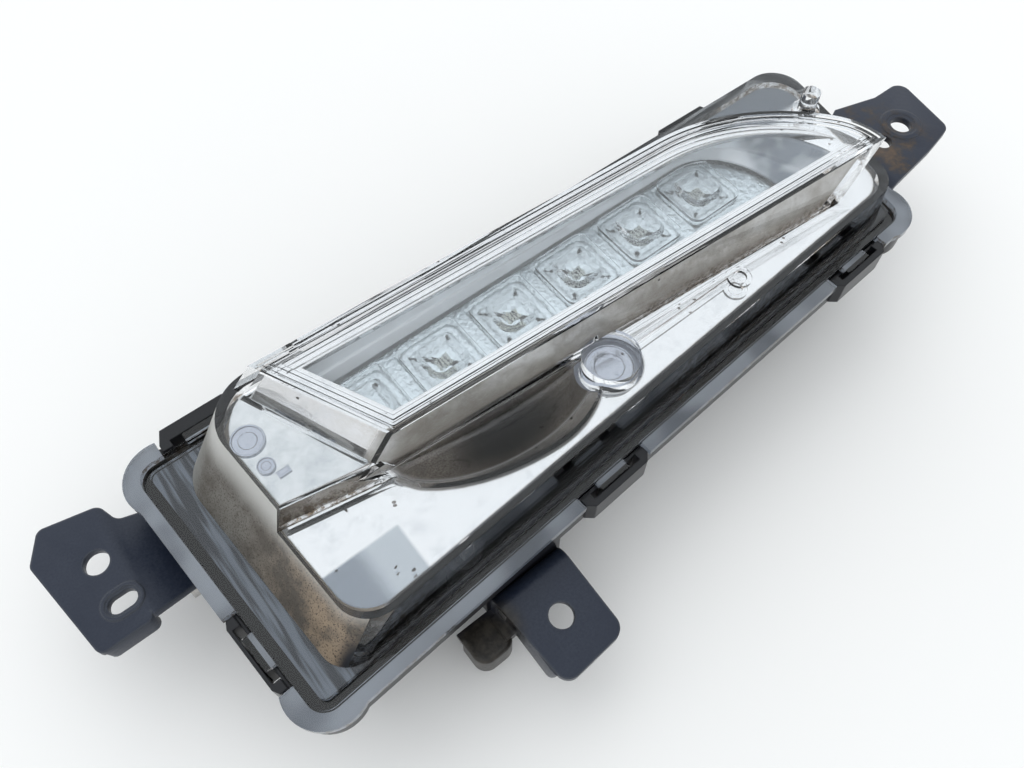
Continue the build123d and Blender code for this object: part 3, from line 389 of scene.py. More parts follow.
# %% [markdown]
# The bezel wears a bright film. Its flat parts mirror the sky, its walls carry a little beige dust,
# and grit sits on it as dark specks. Dust isn't metal, so where it lies thick the metallic value
# drops and the roughness rises with the same mask.

# %% Finish: bright film
def bright_material(name, metallic=1.0, ripple_scale=80.0, ripple=0.03):
    material, tree, shader, _ = start_material(name, Metallic=metallic)
    skin = use_group(tree, soft_edge, Radius=0.0008, Ripple_Scale=ripple_scale, Ripple=ripple)
    join(tree, skin.outputs["Normal"], shader.inputs["Normal"])
    wall = use_group(tree, upright, Flat=0.93, Steep=0.6)
    film = use_group(tree, dust, Drift_Scale=35.0, Grain_Scale=2600.0, Amount=0.8)
    on_walls = times(tree, wall.outputs["Mask"], film.outputs["Mask"])
    return material, tree, shader, wall.outputs["Mask"], on_walls


clean_film, smudged_film = (0.705, 0.71, 0.72, 1.0), (0.61, 0.622, 0.64, 1.0)
beige_dust = (0.44, 0.39, 0.33, 1.0)
bright_film, tree, shader, wall, on_walls = bright_material("bright film")
spot, x, y, z = where(tree)
cloud = noise(tree, spot, 60.0, 6.0)
fine = band(tree, noise(tree, spot, 2400.0, 1.0), 0.35, 0.6)
grit = use_group(tree, specks, Scale=300.0, Size=0.24, Share=0.08).outputs["Mask"]
smudge = band(tree, noise(tree, spot, 110.0, 5.0), 0.5, 0.72)
tone = blend(tree, smudge, clean_film, smudged_film)
tone = blend(tree, on_walls, tone, beige_dust)
print("material:", bright_film.name)

# %% [markdown]
# The plateau at the left end has gone a little dull. The far corner behind the window carries a
# painted dark reflection, and the lower corner of the face a painted slate-grey reflection. All are
# plain changes of tone, placed by height and position, so the bezel needs no second material.

# %% Bright film: dull plateau, painted dark far corner and painted slate corner
face_z, plateau_z = 0.0538, 0.0588
dull_dark, dull_pale = (0.44, 0.465, 0.485, 1.0), (0.6, 0.615, 0.625, 1.0)
painted_dark_reflection = (0.1, 0.115, 0.135, 1.0)
painted_slate_dark, painted_slate_pale = (0.2, 0.225, 0.26, 1.0), (0.4, 0.43, 0.46, 1.0)
from_below = band(tree, z, plateau_z - 0.0016, plateau_z - 0.001)
from_above = band(tree, z, plateau_z + 0.0024, plateau_z + 0.0016)
dull_tone = blend(tree, band(tree, cloud, 0.35, 0.65), dull_dark, dull_pale)
tone = blend(tree, times(tree, from_below, from_above), tone, dull_tone)
# Painted dark reflection at the far corner behind the window.
far_corner = times(tree, band(tree, x, 0.07, 0.078), band(tree, y, 0.013, 0.017))
tone = blend(tree, far_corner, tone, painted_dark_reflection)
from_below = band(tree, z, face_z - 0.001, face_z - 0.0005)
from_above = band(tree, z, face_z + 0.0008, face_z + 0.0003)
on_face = times(tree, from_above, from_below)
# Painted slate-grey reflection at the lower corner of the face.
slate_reflection_corner = times(tree, band(tree, x, -0.0715, -0.0728), band(tree, y, -0.0215, -0.0226))
painted_slate_reflection = blend(tree, band(tree, x, -0.086, -0.08), painted_slate_dark, painted_slate_pale)
tone = blend(tree, times(tree, on_face, slate_reflection_corner), tone, painted_slate_reflection)
print("plateau and corners toned")

# %% [markdown]
# The sloping end wall is covered with taupe dust, finely speckled and tan towards its lower end.
# The wall is picked out by its place and its slope. A dark patch lies at its lower corner.

# %% Bright film: taupe end wall
taupe_dark, taupe_pale = (0.1, 0.086, 0.07, 1.0), (0.3, 0.27, 0.225, 1.0)
tan_dark, tan_pale = (0.16, 0.12, 0.08, 1.0), (0.4, 0.33, 0.245, 1.0)
taupe_speck = (0.09, 0.075, 0.058, 1.0)
corner_dark = (0.015, 0.018, 0.024, 1.0)
left_walls = times(tree, band(tree, x, -0.0835, -0.088), wall)
end_wall = times(tree, left_walls, band(tree, z, plateau_z + 0.0004, plateau_z - 0.0004))
clouded = band(tree, cloud, 0.3, 0.7)
taupe = blend(tree, fine, taupe_speck, blend(tree, clouded, taupe_dark, taupe_pale))
tan = blend(tree, clouded, tan_dark, tan_pale)
taupe = blend(tree, band(tree, y, 0.004, -0.03), taupe, tan)
dark_corner_patch = patch(tree, spot, (-0.0965, -0.0385), (0.0042, 0.0032), 0.5)
tone = blend(tree, end_wall, tone, blend(tree, dark_corner_patch, taupe, corner_dark))
print("end wall dusted")

# %% [markdown]
# The long wall of the window tower is hazed with dust too, grey at the top and browner at the foot;
# this change with height is also a painted reflection, of the bright sky above and the dark room
# below. It is found in the same way; height sets its tone, and noise clouds it.

# %% Bright film: hazed tower wall with a painted reflection
foot_dust_and_painted_reflection, top_painted_reflection = (0.4, 0.365, 0.32, 1.0), (0.72, 0.72, 0.71, 1.0)
haze_dark = (0.33, 0.305, 0.27, 1.0)
above_face = times(tree, wall, band(tree, z, face_z, face_z + 0.0007))
tower_wall = times(tree, above_face, band(tree, y, -0.003, -0.006))
# Dust, and a painted reflection: pale where the bright sky is mirrored, dark at the foot.
haze = blend(tree, band(tree, z, 0.055, 0.065), foot_dust_and_painted_reflection, top_painted_reflection)
haze = blend(tree, band(tree, cloud, 0.35, 0.7), haze_dark, haze)
tone = blend(tree, tower_wall, tone, haze)
print("tower wall hazed")

# %% [markdown]
# In front of the window the face dips in a long valley. Brown dirt has collected there, reaching a
# little way up the wall of the window tower, and over it lie painted shade in the hollow and a
# nearly black painted reflection at its core. Three soft ovals, one inside the other, give the
# outline of the dirt, the painted shade and the painted core.

# %% Bright film: dirt, painted shade and painted reflection in the valley
mud_dark, mud_pale = (0.13, 0.112, 0.096, 1.0), (0.33, 0.29, 0.25, 1.0)
mud_speck = (0.1, 0.082, 0.066, 1.0)
valley_painted_shade, valley_painted_dark_reflection = (0.035, 0.031, 0.028, 1.0), (0.004, 0.005, 0.007, 1.0)
valley = patch(tree, spot, (-0.031, -0.007), (0.0345, 0.0192), 0.05)
in_valley = times(tree, valley, band(tree, z, 0.0565, 0.0535))
mud = blend(tree, band(tree, cloud, 0.35, 0.7), mud_dark, mud_pale)
mud = blend(tree, fine, mud_speck, mud)
# The darker oval is painted shade in the hollow; the nearly black core is a painted dark
# reflection.
painted_shading = patch(tree, spot, (-0.033, -0.0175), (0.019, 0.0095), 0.7)
mud = blend(tree, painted_shading, mud, valley_painted_shade)
painted_core = patch(tree, spot, (-0.035, -0.018), (0.012, 0.0068), 0.6)
tone = blend(tree, in_valley, tone, blend(tree, painted_core, mud, valley_painted_dark_reflection))
print("valley dirtied")

# %% [markdown]
# The round cup under the boss of the lens is lilac grey. Grit lies over all the tones, and where
# dust is thick the film is neither metallic nor shiny.

# %% Bright film: cup under the boss, grit and shine
lilac_grey = (0.33, 0.355, 0.42, 1.0)
film_grit = (0.03, 0.025, 0.02, 1.0)
boss_spot = (-0.0024, -0.0199)
cup_round = patch(tree, spot, boss_spot, (0.0091, 0.0091), 0.02)
in_cup = times(tree, cup_round, band(tree, z, face_z - 0.0003, face_z - 0.0008))
tone = blend(tree, in_cup, tone, lilac_grey)
tone = blend(tree, grit, tone, film_grit)
join(tree, tone, shader.inputs["Base Color"])
thick = either(tree, either(tree, end_wall, in_valley), band(tree, tower_wall, 0.0, 1.0, 0.0, 0.92))
join(tree, band(tree, thick, 0.0, 1.0, 1.0, 0.15), shader.inputs["Metallic"])
dull = either(tree, either(tree, on_walls, thick), in_cup)
join(tree, band(tree, dull, 0.0, 1.0, 0.05, 0.5), shader.inputs["Roughness"])
print("material:", bright_film.name, "complete")

# %% [markdown]
# The tray and frame round the lights are bright too, but through lens and optic they read as a
# pale ice blue with a satin shine. They get a cooler, rougher and less metallic version. A fine
# ripple crinkles the tray, and the frame carries a painted dark reflection at its far end.

# %% Finish: ice-blue film of the window
ice_blue, ice_dusty = (0.91, 0.955, 1.0, 1.0), (0.9, 0.945, 0.985, 1.0)
ice_painted_dark_reflection = (0.2, 0.235, 0.28, 1.0)
window_film, tree, shader, _, on_walls = bright_material("ice-blue window film", 0.15)
spot, x, *_ = where(tree)
tone = blend(tree, on_walls, ice_blue, ice_dusty)
cloudy = band(tree, noise(tree, spot, 90.0, 2.0), 0.35, 0.6, 0.55, 1.0)
# Painted dark reflection at the far end of the frame.
painted_dark_end = times(tree, band(tree, x, 0.071, 0.076), cloudy)
join(tree, blend(tree, painted_dark_end, tone, ice_painted_dark_reflection), shader.inputs["Base Color"])
join(tree, band(tree, on_walls, 0.0, 1.0, 0.14, 0.3), shader.inputs["Roughness"])
tray_blue, tray_dusty = (0.93, 0.975, 1.0, 1.0), (0.95, 0.985, 1.0, 1.0)
tray_satin, tree, shader, _, on_walls = bright_material("ice-blue reflector", 0.55, 700.0, 0.6)
join(tree, blend(tree, on_walls, tray_blue, tray_dusty), shader.inputs["Base Color"])
join(tree, band(tree, on_walls, 0.0, 1.0, 0.2, 0.35), shader.inputs["Roughness"])
print("materials:", window_film.name, "and", tray_satin.name)

# %% [markdown]
# The housing, the socket and the clips are black moulded plastic with a soft sheen. Grey dust sits
# in drifts and roughens it. One function makes this and every other opaque finish, each with its
# own colour, dust and shine.

# %% Finish: opaque surfaces with dust
def dusty_material(name, colour, dust_colour, roughness, amount, metallic=0.0, radius=0.0006,
                   ripple_scale=200.0, ripple=0.08, shine=0.5, worn=None):
    material, tree, shader, _ = start_material(
        name, Metallic=metallic, Specular_IOR_Level=shine
    )
    skin = use_group(tree, soft_edge, Radius=radius, Ripple_Scale=ripple_scale, Ripple=ripple)
    join(tree, skin.outputs["Normal"], shader.inputs["Normal"])
    film = use_group(tree, dust, Drift_Scale=30.0, Grain_Scale=1500.0, Amount=amount)
    shown = blend(tree, film.outputs["Mask"], colour, dust_colour)
    if worn:
        shown = blend(tree, skin.outputs["Edge"], shown, worn)
    join(tree, shown, shader.inputs["Base Color"])
    dusty_roughness = min(roughness + 0.35, 1.0)
    rough = put(tree, "ShaderNodeMapRange", {"To Min": roughness, "To Max": dusty_roughness})
    join(tree, film.outputs["Mask"], rough.inputs["Value"])
    join(tree, rough.outputs["Result"], shader.inputs["Roughness"])
    return material, tree, shader, shown


black_plastic = dusty_material(
    "black moulded plastic", (0.006, 0.0065, 0.009, 1.0), (0.05, 0.05, 0.055, 1.0), 0.3, 0.12,
    shine=0.35,
)[0]
print("material:", black_plastic.name)

# %% [markdown]
# The seal, the board with its lights and pad, the heat sink, the screws, the blades and the wires
# lie behind or inside and show little, so a plain version of the same finish is enough for each.

# %% Finish: plain inner pieces
seal_rubber = dusty_material(
    "black seal rubber", (0.011, 0.011, 0.012, 1.0), (0.02, 0.02, 0.02, 1.0), 0.5, 0.2,
    radius=0.0, ripple=0.02,
)[0]
board_white = dusty_material(
    "white board coat", (0.9, 0.93, 0.95, 1.0), (0.7, 0.71, 0.7, 1.0), 0.4, 0.2
)[0]
led_yellow = dusty_material(
    "yellow light dome", (0.86, 0.78, 0.4, 1.0), (0.95, 0.9, 0.7, 1.0), 0.25, 0.6
)[0]
pad_grey = dusty_material(
    "grey heat pad", (0.3, 0.31, 0.33, 1.0), (0.4, 0.4, 0.4, 1.0), 0.8, 0.3
)[0]
sink_metal = dusty_material(
    "cast heat sink", (0.62, 0.63, 0.65, 1.0), (0.4, 0.38, 0.36, 1.0), 0.4, 0.3, metallic=1.0
)[0]
screw_steel = dusty_material(
    "zinc screws", (0.6, 0.6, 0.6, 1.0), (0.3, 0.24, 0.18, 1.0), 0.3, 0.5,
    metallic=1.0, radius=0.0004,
)[0]
contact_brass = dusty_material(
    "brass blades", (0.75, 0.55, 0.25, 1.0), (0.4, 0.3, 0.18, 1.0), 0.25, 0.3, metallic=1.0
)[0]
wire_orange = dusty_material(
    "orange wire", (0.8, 0.22, 0.03, 1.0), (0.5, 0.3, 0.2, 1.0), 0.45, 0.2
)[0]
print("finishes of the inner pieces made")

# %% [markdown]
# The brackets are pressed steel under a blue-black coat, and the edge mask of the first group shows
# where it is worn. On the right one the coat has failed and brown rust has come through in
# blotches, so that bracket gets its own material. The lug of the lower bracket is caked with brown
# dust.

# %% Finish: coated steel, with and without rust
coat = (0.0115, 0.017, 0.034, 1.0)
worn_coat = (0.034, 0.043, 0.064, 1.0)
bare_edge = (0.07, 0.078, 0.095, 1.0)
caked_dark, caked_brown = (0.012, 0.01, 0.008, 1.0), (0.04, 0.034, 0.027, 1.0)
rust_dark, rust_brown = (0.036, 0.027, 0.021, 1.0), (0.095, 0.056, 0.032, 1.0)
sprayed = {
    "radius": 0.0009, "ripple_scale": 900.0, "ripple": 0.06, "shine": 0.35, "worn": bare_edge
}
black_steel, tree, shader, tone = dusty_material(
    "blue-black coat", coat, worn_coat, 0.3, 0.6, **sprayed
)
spot = where(tree)[0]
on_lug = patch(tree, spot, (-0.068, -0.05), (0.0095, 0.0085), 0.35)
clods = band(tree, noise(tree, spot, 300.0, 4.0), 0.35, 0.65)
caked = blend(tree, clods, caked_dark, caked_brown)
join(tree, blend(tree, on_lug, tone, caked), shader.inputs["Base Color"])
rusty_steel, tree, shader, tone = dusty_material(
    "rusty blue-black coat", coat, worn_coat, 0.32, 0.6, **sprayed
)
spot, x, *_ = where(tree)
blotch = noise(tree, spot, 85.0, 8.0, 0.75)
failed = band(tree, blotch, 0.44, 0.6)
inner_part = band(tree, x, 0.158, 0.146)
rust = blend(tree, band(tree, blotch, 0.5, 0.72), rust_dark, rust_brown)
join(tree, blend(tree, times(tree, failed, inner_part), tone, rust), shader.inputs["Base Color"])
print("materials:", black_steel.name, "and", rusty_steel.name)

# %% [markdown]
# Below its flange the lens has a tongue and hooks that sit in the black housing. On the real lamp
# they are bonded there, so they look black from above. A plain dark finish stands for the bond.
# A small rusty smear lies on it. The lip outside overhangs the housing; its underside is painted
# cloudy grey as painted shade under the overhang, with painted light at the far corner.

# %% Finish: bonded edge of the lens, and painted shade under the lip
rusty_smear = (0.32, 0.15, 0.045, 1.0)
lip_painted_dark, lip_painted_light = (0.12, 0.138, 0.168, 1.0), (0.6, 0.63, 0.66, 1.0)
bond_black, tree, shader, tone = dusty_material(
    "black bond", (0.005, 0.005, 0.006, 1.0), (0.008, 0.008, 0.009, 1.0), 0.45, 0.2,
    radius=0.0, ripple=0.01, shine=0.25,
)
spot = where(tree)[0]
smear_spot = patch(tree, spot, (0.0128, -0.0323), (0.0032, 0.0016), 0.3)
smear = times(tree, smear_spot, band(tree, noise(tree, spot, 700.0, 4.0), 0.4, 0.55))
join(tree, blend(tree, smear, tone, rusty_smear), shader.inputs["Base Color"])
lip_painted_shade, tree, shader, tone = dusty_material(
    "lip underside with painted shade", (0.34, 0.375, 0.43, 1.0), (0.4, 0.43, 0.47, 1.0), 0.5, 0.3,
    radius=0.0, shine=0.2,
)
spot, x, y, _ = where(tree)
# The grey under the lip is painted shade beneath the overhang; the pale far corner is painted
# light.
clouded = band(tree, noise(tree, spot, 40.0, 2.0), 0.4, 0.75)
tone = blend(tree, clouded, tone, lip_painted_dark)
far_lip_painted_light = times(tree, band(tree, x, 0.05, 0.08), band(tree, y, 0.005, 0.02))
join(tree, blend(tree, far_lip_painted_light, tone, lip_painted_light), shader.inputs["Base Color"])
print("materials:", bond_black.name, "and", lip_painted_shade.name)

# %% [markdown]
# Inside the tongue the flange lies over the black housing. Long blue-grey streaks of painted
# reflection lie on its underside, brighter at the left end and pale at the far corner. They could
# be painted along the flange, but stretched noise draws them with one Mapping node: along Y at the
# left end, along X elsewhere.

# %% Finish: underside of the flange with painted streaks of reflection
streak_dark, painted_sheen_grey = (0.008, 0.009, 0.012, 1.0), (0.03, 0.034, 0.042, 1.0)
left_dark, painted_sheen_blue = (0.03, 0.036, 0.047, 1.0), (0.19, 0.225, 0.275, 1.0)
far_dark, far_painted_pale = (0.05, 0.056, 0.066, 1.0), (0.5, 0.53, 0.56, 1.0)
flange_dark, tree, shader, _ = dusty_material(
    "flange with painted sheen", (0.012, 0.014, 0.018, 1.0), (0.02, 0.022, 0.026, 1.0), 0.4, 0.3,
    radius=0.0, ripple=0.01, shine=0.3,
)
spot, x, y, _ = where(tree)
# The grey and blue streaks and the pale far corner are painted reflection on a dark underside.
sheen_streaks = []
for stretch in ((420.0, 30.0, 1.0), (24.0, 420.0, 1.0)):
    turned = put(tree, "ShaderNodeMapping")
    turned.inputs["Scale"].default_value = stretch
    join(tree, spot, turned.inputs["Vector"])
    sheen_streaks.append(band(tree, noise(tree, turned.outputs["Vector"], 1.0, 2.0), 0.4, 0.62))
at_left = band(tree, x, -0.096, -0.101)
at_far_corner = times(tree, band(tree, x, 0.06, 0.085), band(tree, y, 0.012, 0.024))
painted_shading = blend(tree, sheen_streaks[1], streak_dark, painted_sheen_grey)
left_painted_sheen = blend(tree, sheen_streaks[0], left_dark, painted_sheen_blue)
far_painted_sheen = blend(tree, sheen_streaks[1], far_dark, far_painted_pale)
painted_shading = blend(tree, at_far_corner, painted_shading, far_painted_sheen)
join(tree, blend(tree, at_left, painted_shading, left_painted_sheen), shader.inputs["Base Color"])
print("material:", flange_dark.name)

# %% [markdown]
# The dies of the lights are pale plates with dark slits, and the small moulded features behind the
# lens are lilac grey. All of them are small, so the opaque finish above serves again, and it is
# metallic for the moulded features, which wear a film as the bezel does.

# %% Finish: light dies and moulded features
die_pale = dusty_material(
    "pale light die", (0.72, 0.74, 0.7, 1.0), (0.86, 0.8, 0.5, 1.0), 0.35, 0.6
)[0]
die_dark = dusty_material(
    "dark die slit", (0.01, 0.011, 0.016, 1.0), (0.03, 0.03, 0.035, 1.0), 0.4, 0.3, radius=0.0
)[0]
lilac_film = dusty_material(
    "lilac film", (0.39, 0.415, 0.47, 1.0), (0.51, 0.525, 0.56, 1.0), 0.16, 0.4,
    metallic=1.0, radius=0.0003,
)[0]
print("materials:", die_pale.name, die_dark.name, "and", lilac_film.name)

# %% [markdown]
# Each solid now takes its finish. One list pairs the solids with their materials, so that it can be
# read at a glance. The solids themselves are never moved or changed.

# %% Give every solid its finish
finishes = {
    "front_lens": lens_clear, "inner_optic": optic_clear,
    "chrome_bezel": bright_film, "window_frame": window_film, "reflector_tray": tray_satin,
    "rear_housing": black_plastic, "connector_socket": black_plastic,
    "lens_seal": seal_rubber, "connector_seal": seal_rubber, "breather_cap": seal_rubber,
    "led_board": board_white, "board_header": board_white, "led_chips": led_yellow,
    "thermal_pad": pad_grey, "heat_sink": sink_metal,
    "board_screws": screw_steel, "bezel_screws": screw_steel, "bracket_screws": screw_steel,
    "connector_pins": contact_brass, "lead_wires": wire_orange,
    "left_bracket": black_steel, "lower_bracket": black_steel, "right_bracket": rusty_steel,
}
for name, material in finishes.items():
    nodes[name].data.materials.clear()
    nodes[name].data.materials.append(material)
print("finished solids:", len(finishes))

# %% [markdown]
# Some pieces need more than a finish. A copy of a solid's mesh is made for them; the copy's loose
# triangles are merged first, so that edges and faces know their neighbours, and the copy then
# stands for the solid. New pieces start as a block or a cylinder. An operator acts on all that is
# selected, so everything is deselected first, and faces and edges are then picked in code.

# %% Helpers that start pieces and select on them
def deselect():
    bpy.ops.object.select_all(action="DESELECT")


def edit():
    bpy.ops.object.mode_set(mode="EDIT")


def leave():
    bpy.ops.object.mode_set(mode="OBJECT")


def copy_solid(name, title):
    deselect()
    piece = bpy.data.objects.new(title, nodes[name].data.copy())
    bpy.context.scene.collection.objects.link(piece)
    bpy.context.view_layer.objects.active = piece
    piece.select_set(True)
    bpy.ops.mesh.customdata_custom_splitnormals_clear()
    edit()
    bpy.ops.mesh.select_all(action="SELECT")
    bpy.ops.mesh.remove_doubles(threshold=1e-6)
    leave()
    return piece


def add_block(title, spot, size):
    deselect()
    bpy.ops.mesh.primitive_cube_add(size=1.0, location=spot)
    block = bpy.context.object
    block.name = title
    block.scale = size
    bpy.ops.object.transform_apply(location=True, rotation=True, scale=True)
    return block


def select_faces(piece, test):
    edit()
    bpy.ops.mesh.select_mode(type="FACE")
    bpy.ops.mesh.select_all(action="DESELECT")
    leave()
    for face in piece.data.polygons:
        face.select = test(face)
    edit()


def select_edges(piece, test):
    edit()
    bpy.ops.mesh.select_mode(type="EDGE")
    bpy.ops.mesh.select_all(action="DESELECT")
    leave()
    for edge in piece.data.edges:
        edge.select = test(*(piece.data.vertices[i].co for i in edge.vertices))
    edit()


print("helpers for copies, blocks and selections ready")

# %% [markdown]
# The other steps that these pieces share are extruding the selected faces, rounding off sharp edges
# with a Bevel modifier, painting some faces with another finish, and settling: a settled piece
# rides on the lamp, takes its material if one is given, and names the solid that it stands for, if
# any, which is then hidden.

# %% Helpers that shape, paint and settle pieces
def push(distance):
    bpy.ops.mesh.extrude_region_shrink_fatten(TRANSFORM_OT_shrink_fatten={"value": distance})


def round_off(piece, width, segments, sharp, smooth):
    rounded = piece.modifiers.new("rounded edges", "BEVEL")
    rounded.width = width
    rounded.segments = segments
    rounded.limit_method = "ANGLE"
    rounded.angle_limit = radians(sharp)
    bpy.ops.object.modifier_apply(modifier=rounded.name)
    bpy.ops.object.shade_smooth_by_angle(angle=radians(smooth))


def paint(piece, slot_number, test):
    select_faces(piece, test)
    piece.active_material_index = slot_number
    bpy.ops.object.material_slot_assign()
    leave()


def settle(piece, material, slot, *replaced):
    if material:
        piece.data.materials.clear()
        piece.data.materials.append(material)
    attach(piece, "root")
    if replaced:
        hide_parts(*replaced)
    print("piece:", piece.name, "faces:", len(piece.data.polygons))


print("helpers for shaping and settling ready")

# %% [markdown]
# The lens copy takes five finishes: clear above the underside of the flange, dusty outside on the
# left wall, black bond below the flange, painted shade under the lip that overhangs the housing,
# and painted streaks of reflection inside the tongue. The faces are picked by their height and
# their normal. On the underside, each selection is grown from one face over all faces flat with it;
# the largest of these rings lies inside the tongue, and the others are the lip. The end of the
# tongue rests on the seal, and two surfaces in one place confuse a ray tracer, so it is lifted by a
# tenth of a millimetre.

# %% Front lens with its bonded tongue and hooks
flange_underside = 0.0398
tongue_end = 0.0364
tongue_lift = 0.0001
near = 0.00005


def faces_down(face, level):
    return face.normal.z < -0.99 and abs(face.center.z - level) < near


def on_left_wall(face):
    spot = face.center
    return face.normal.x < -0.5 and spot.x < -0.086 and 0.0425 < spot.z < 0.0625


lens = copy_solid("front_lens", "dressed_front_lens")
lens.data.materials.clear()
for material in (lens_clear, bond_black, lip_painted_shade, flange_dark, lens_dusty):
    lens.data.materials.append(material)
paint(lens, 1, lambda face: face.center.z < flange_underside - near)
left_over = {face.index for face in lens.data.polygons if faces_down(face, flange_underside)}
rings = []
while left_over:
    seed = min(left_over)
    select_faces(lens, lambda face: face.index == seed)
    bpy.ops.mesh.faces_select_linked_flat(sharpness=radians(1.0))
    leave()
    rings.append({face.index for face in lens.data.polygons if face.select})
    left_over -= rings[-1]
inner_ring = max(rings, key=lambda ring: sum(lens.data.polygons[i].area for i in ring))
lip = set().union(*rings) - inner_ring
select_faces(lens, lambda face: faces_down(face, tongue_end))
bpy.ops.transform.translate(value=(0.0, 0.0, tongue_lift))
leave()
paint(lens, 2, lambda face: face.index in lip)
paint(lens, 3, lambda face: face.index in inner_ring)
paint(lens, 4, on_left_wall)
print("rings under the flange:", len(rings), "lip faces:", len(lip))
bpy.ops.object.shade_smooth_by_angle(angle=radians(25.0))
settle(lens, None, "clear_lens", "front_lens")

# %% [markdown]
# The brackets are pressed from sheet, and their sheared edges are rolled over and coated. The flat
# triangles of each copy are dissolved into whole faces. Where an edge of the plate is turned down
# as a skirt, the upright corners at its ends are bevelled. A Bevel modifier then rolls every sharp
# edge over with a radius that can be seen in the outline.

# %% Brackets with rolled edges
skirt_radius = 0.0021
skirt_height = 0.004
rolled_radius = 0.0006


def at_left_skirt(p):
    return p.y < 0.0054 and 0.0228 < p.z < 0.0302 and (p.x < -0.1455 or -0.1315 < p.x < -0.131)


def at_lower_skirt(p):
    return p.x < -0.0595 and p.y < -0.0665 and p.z < 0.0235


for name, material, at_skirt in (
    ("left_bracket", black_steel, at_left_skirt),
    ("lower_bracket", black_steel, at_lower_skirt),
    ("right_bracket", rusty_steel, None),
):
    bracket = copy_solid(name, "dressed_" + name)
    edit()
    bpy.ops.mesh.select_all(action="SELECT")
    bpy.ops.mesh.dissolve_limited(angle_limit=radians(2.0))
    leave()
    if at_skirt:
        select_edges(
            bracket,
            lambda a, b: abs(a.z - b.z) > skirt_height and at_skirt(a) and at_skirt(b),
        )
        bpy.ops.mesh.bevel(offset=skirt_radius, segments=4)
        leave()
    round_off(bracket, rolled_radius, 3, 40.0, 35.0)
    settle(bracket, material, "black_steel", name)

# %% [markdown]
# On the lower bracket a web is turned down from the plate and runs into the lug in a hollow curve.
# It is a block with a foot: the lower part of its outer side is drawn out by extruding, and the
# corner above the foot is filled by a wide bevel.

# %% Web of the lower bracket
web_spot = (-0.0585, -0.0485, 0.019)
web_size = (0.0025, 0.0074, 0.0112)
web_side = web_spot[0] - web_size[0] / 2
foot_z = 0.0162
foot_reach = 0.0032
hollow = 0.0028
web = add_block("bracket_web", web_spot, web_size)
edit()
bpy.ops.mesh.select_all(action="SELECT")
bpy.ops.mesh.bisect(plane_co=(0.0, 0.0, foot_z), plane_no=(0.0, 0.0, 1.0))
leave()
select_faces(web, lambda face: face.normal.x < -0.9 and face.center.z < foot_z)
push(foot_reach)


def above_foot(*ends):
    return all(abs(p.x - web_side) < 1e-5 and abs(p.z - foot_z) < 1e-5 for p in ends)


select_edges(web, above_foot)
bpy.ops.mesh.bevel(offset=hollow, segments=6)
leave()
bpy.ops.object.shade_smooth_by_angle(angle=radians(35.0))
settle(web, black_steel, "black_steel")

# %% [markdown]
# The reflector tray touches the underside of the optic. For the same reason as at the tongue of the
# lens, the tray's copy is let down, by 0.15 mm, into the board below it.

# %% Reflector tray clear of the optic
tray_drop = 0.00015
tray = copy_solid("reflector_tray", "dressed_reflector_tray")
edit()
bpy.ops.mesh.select_all(action="SELECT")
bpy.ops.transform.translate(value=(0.0, 0.0, -tray_drop))
leave()
bpy.ops.object.shade_smooth_by_angle(angle=radians(25.0))
settle(tray, tray_satin, "bright_film", "reflector_tray")

# %% [markdown]
# Under each lenslet the real reflector shows two square steps round the light. The solid has a
# plain funnel there, so a stepped cup is set into it: a plate with rounded corners, narrower at the
# bottom to fit the funnel, whose top is sunk twice by inset and extrude. It is modelled once and
# copied.

# %% Stepped cups under the lenslets
led_xs = [-0.06 + 0.023 * i for i in range(6)]
led_y = 0.007
cup_top = 0.05465
cup_side = 0.018
cup_height = 0.0015
cup_taper = 0.8
cup_corner = 0.0025
cup_step = 0.0005
cup_spot = (led_xs[0], led_y, cup_top - cup_height / 2)
cup = add_block("light_cup_1", cup_spot, (cup_side, cup_side, cup_height))
select_faces(cup, lambda face: face.normal.z < -0.9)
bpy.ops.transform.resize(
    value=(cup_taper, cup_taper, 1.0), center_override=(led_xs[0], led_y, cup_top)
)
select_edges(cup, lambda a, b: abs(a.z - b.z) > cup_height / 2)
bpy.ops.mesh.bevel(offset=cup_corner, segments=5)
leave()
select_faces(cup, lambda face: face.normal.z > 0.9)
for rim in (0.0022, 0.0024):
    bpy.ops.mesh.inset(thickness=rim)
    push(-cup_step)
leave()
round_off(cup, 0.0002, 2, 40.0, 35.0)


def copy_along(first, title):
    row = [first]
    for i in range(1, len(led_xs)):
        copy = bpy.data.objects.new("%s_%d" % (title, i + 1), first.data.copy())
        bpy.context.scene.collection.objects.link(copy)
        for vertex in copy.data.vertices:
            vertex.co.x += led_xs[i] - led_xs[0]
        row.append(copy)
    return row


for piece in copy_along(cup, "light_cup"):
    settle(piece, tray_satin, "bright_film")

# %% [markdown]
# Each light has a small die, crossed by fine dark slits that the lenslet above it shows. A plate is
# cut into strips by bisecting, every second strip is sunk and darkened, and the finished die is
# copied to the six lights, on the floors of their cups.

# %% Light dies
die_z = cup_top - 2 * cup_step + 0.0001
die_length = 0.004
die_width = 0.0033
die_thickness = 0.0003
slit_rim = 0.00006
slit_depth = 0.00012
strips = 7
die = add_block("light_die_1", (led_xs[0], led_y, die_z), (die_length, die_width, die_thickness))
edit()
for i in range(1, strips):
    bpy.ops.mesh.select_all(action="SELECT")
    cut_x = led_xs[0] - die_length / 2 + die_length * i / strips
    bpy.ops.mesh.bisect(plane_co=(cut_x, led_y, die_z), plane_no=(1.0, 0.0, 0.0))
leave()
die.data.materials.append(die_pale)
die.data.materials.append(die_dark)


def in_slit(face):
    strip = int((face.center.x - led_xs[0] + die_length / 2) / die_length * strips)
    return face.normal.z > 0.9 and strip % 2 == 1


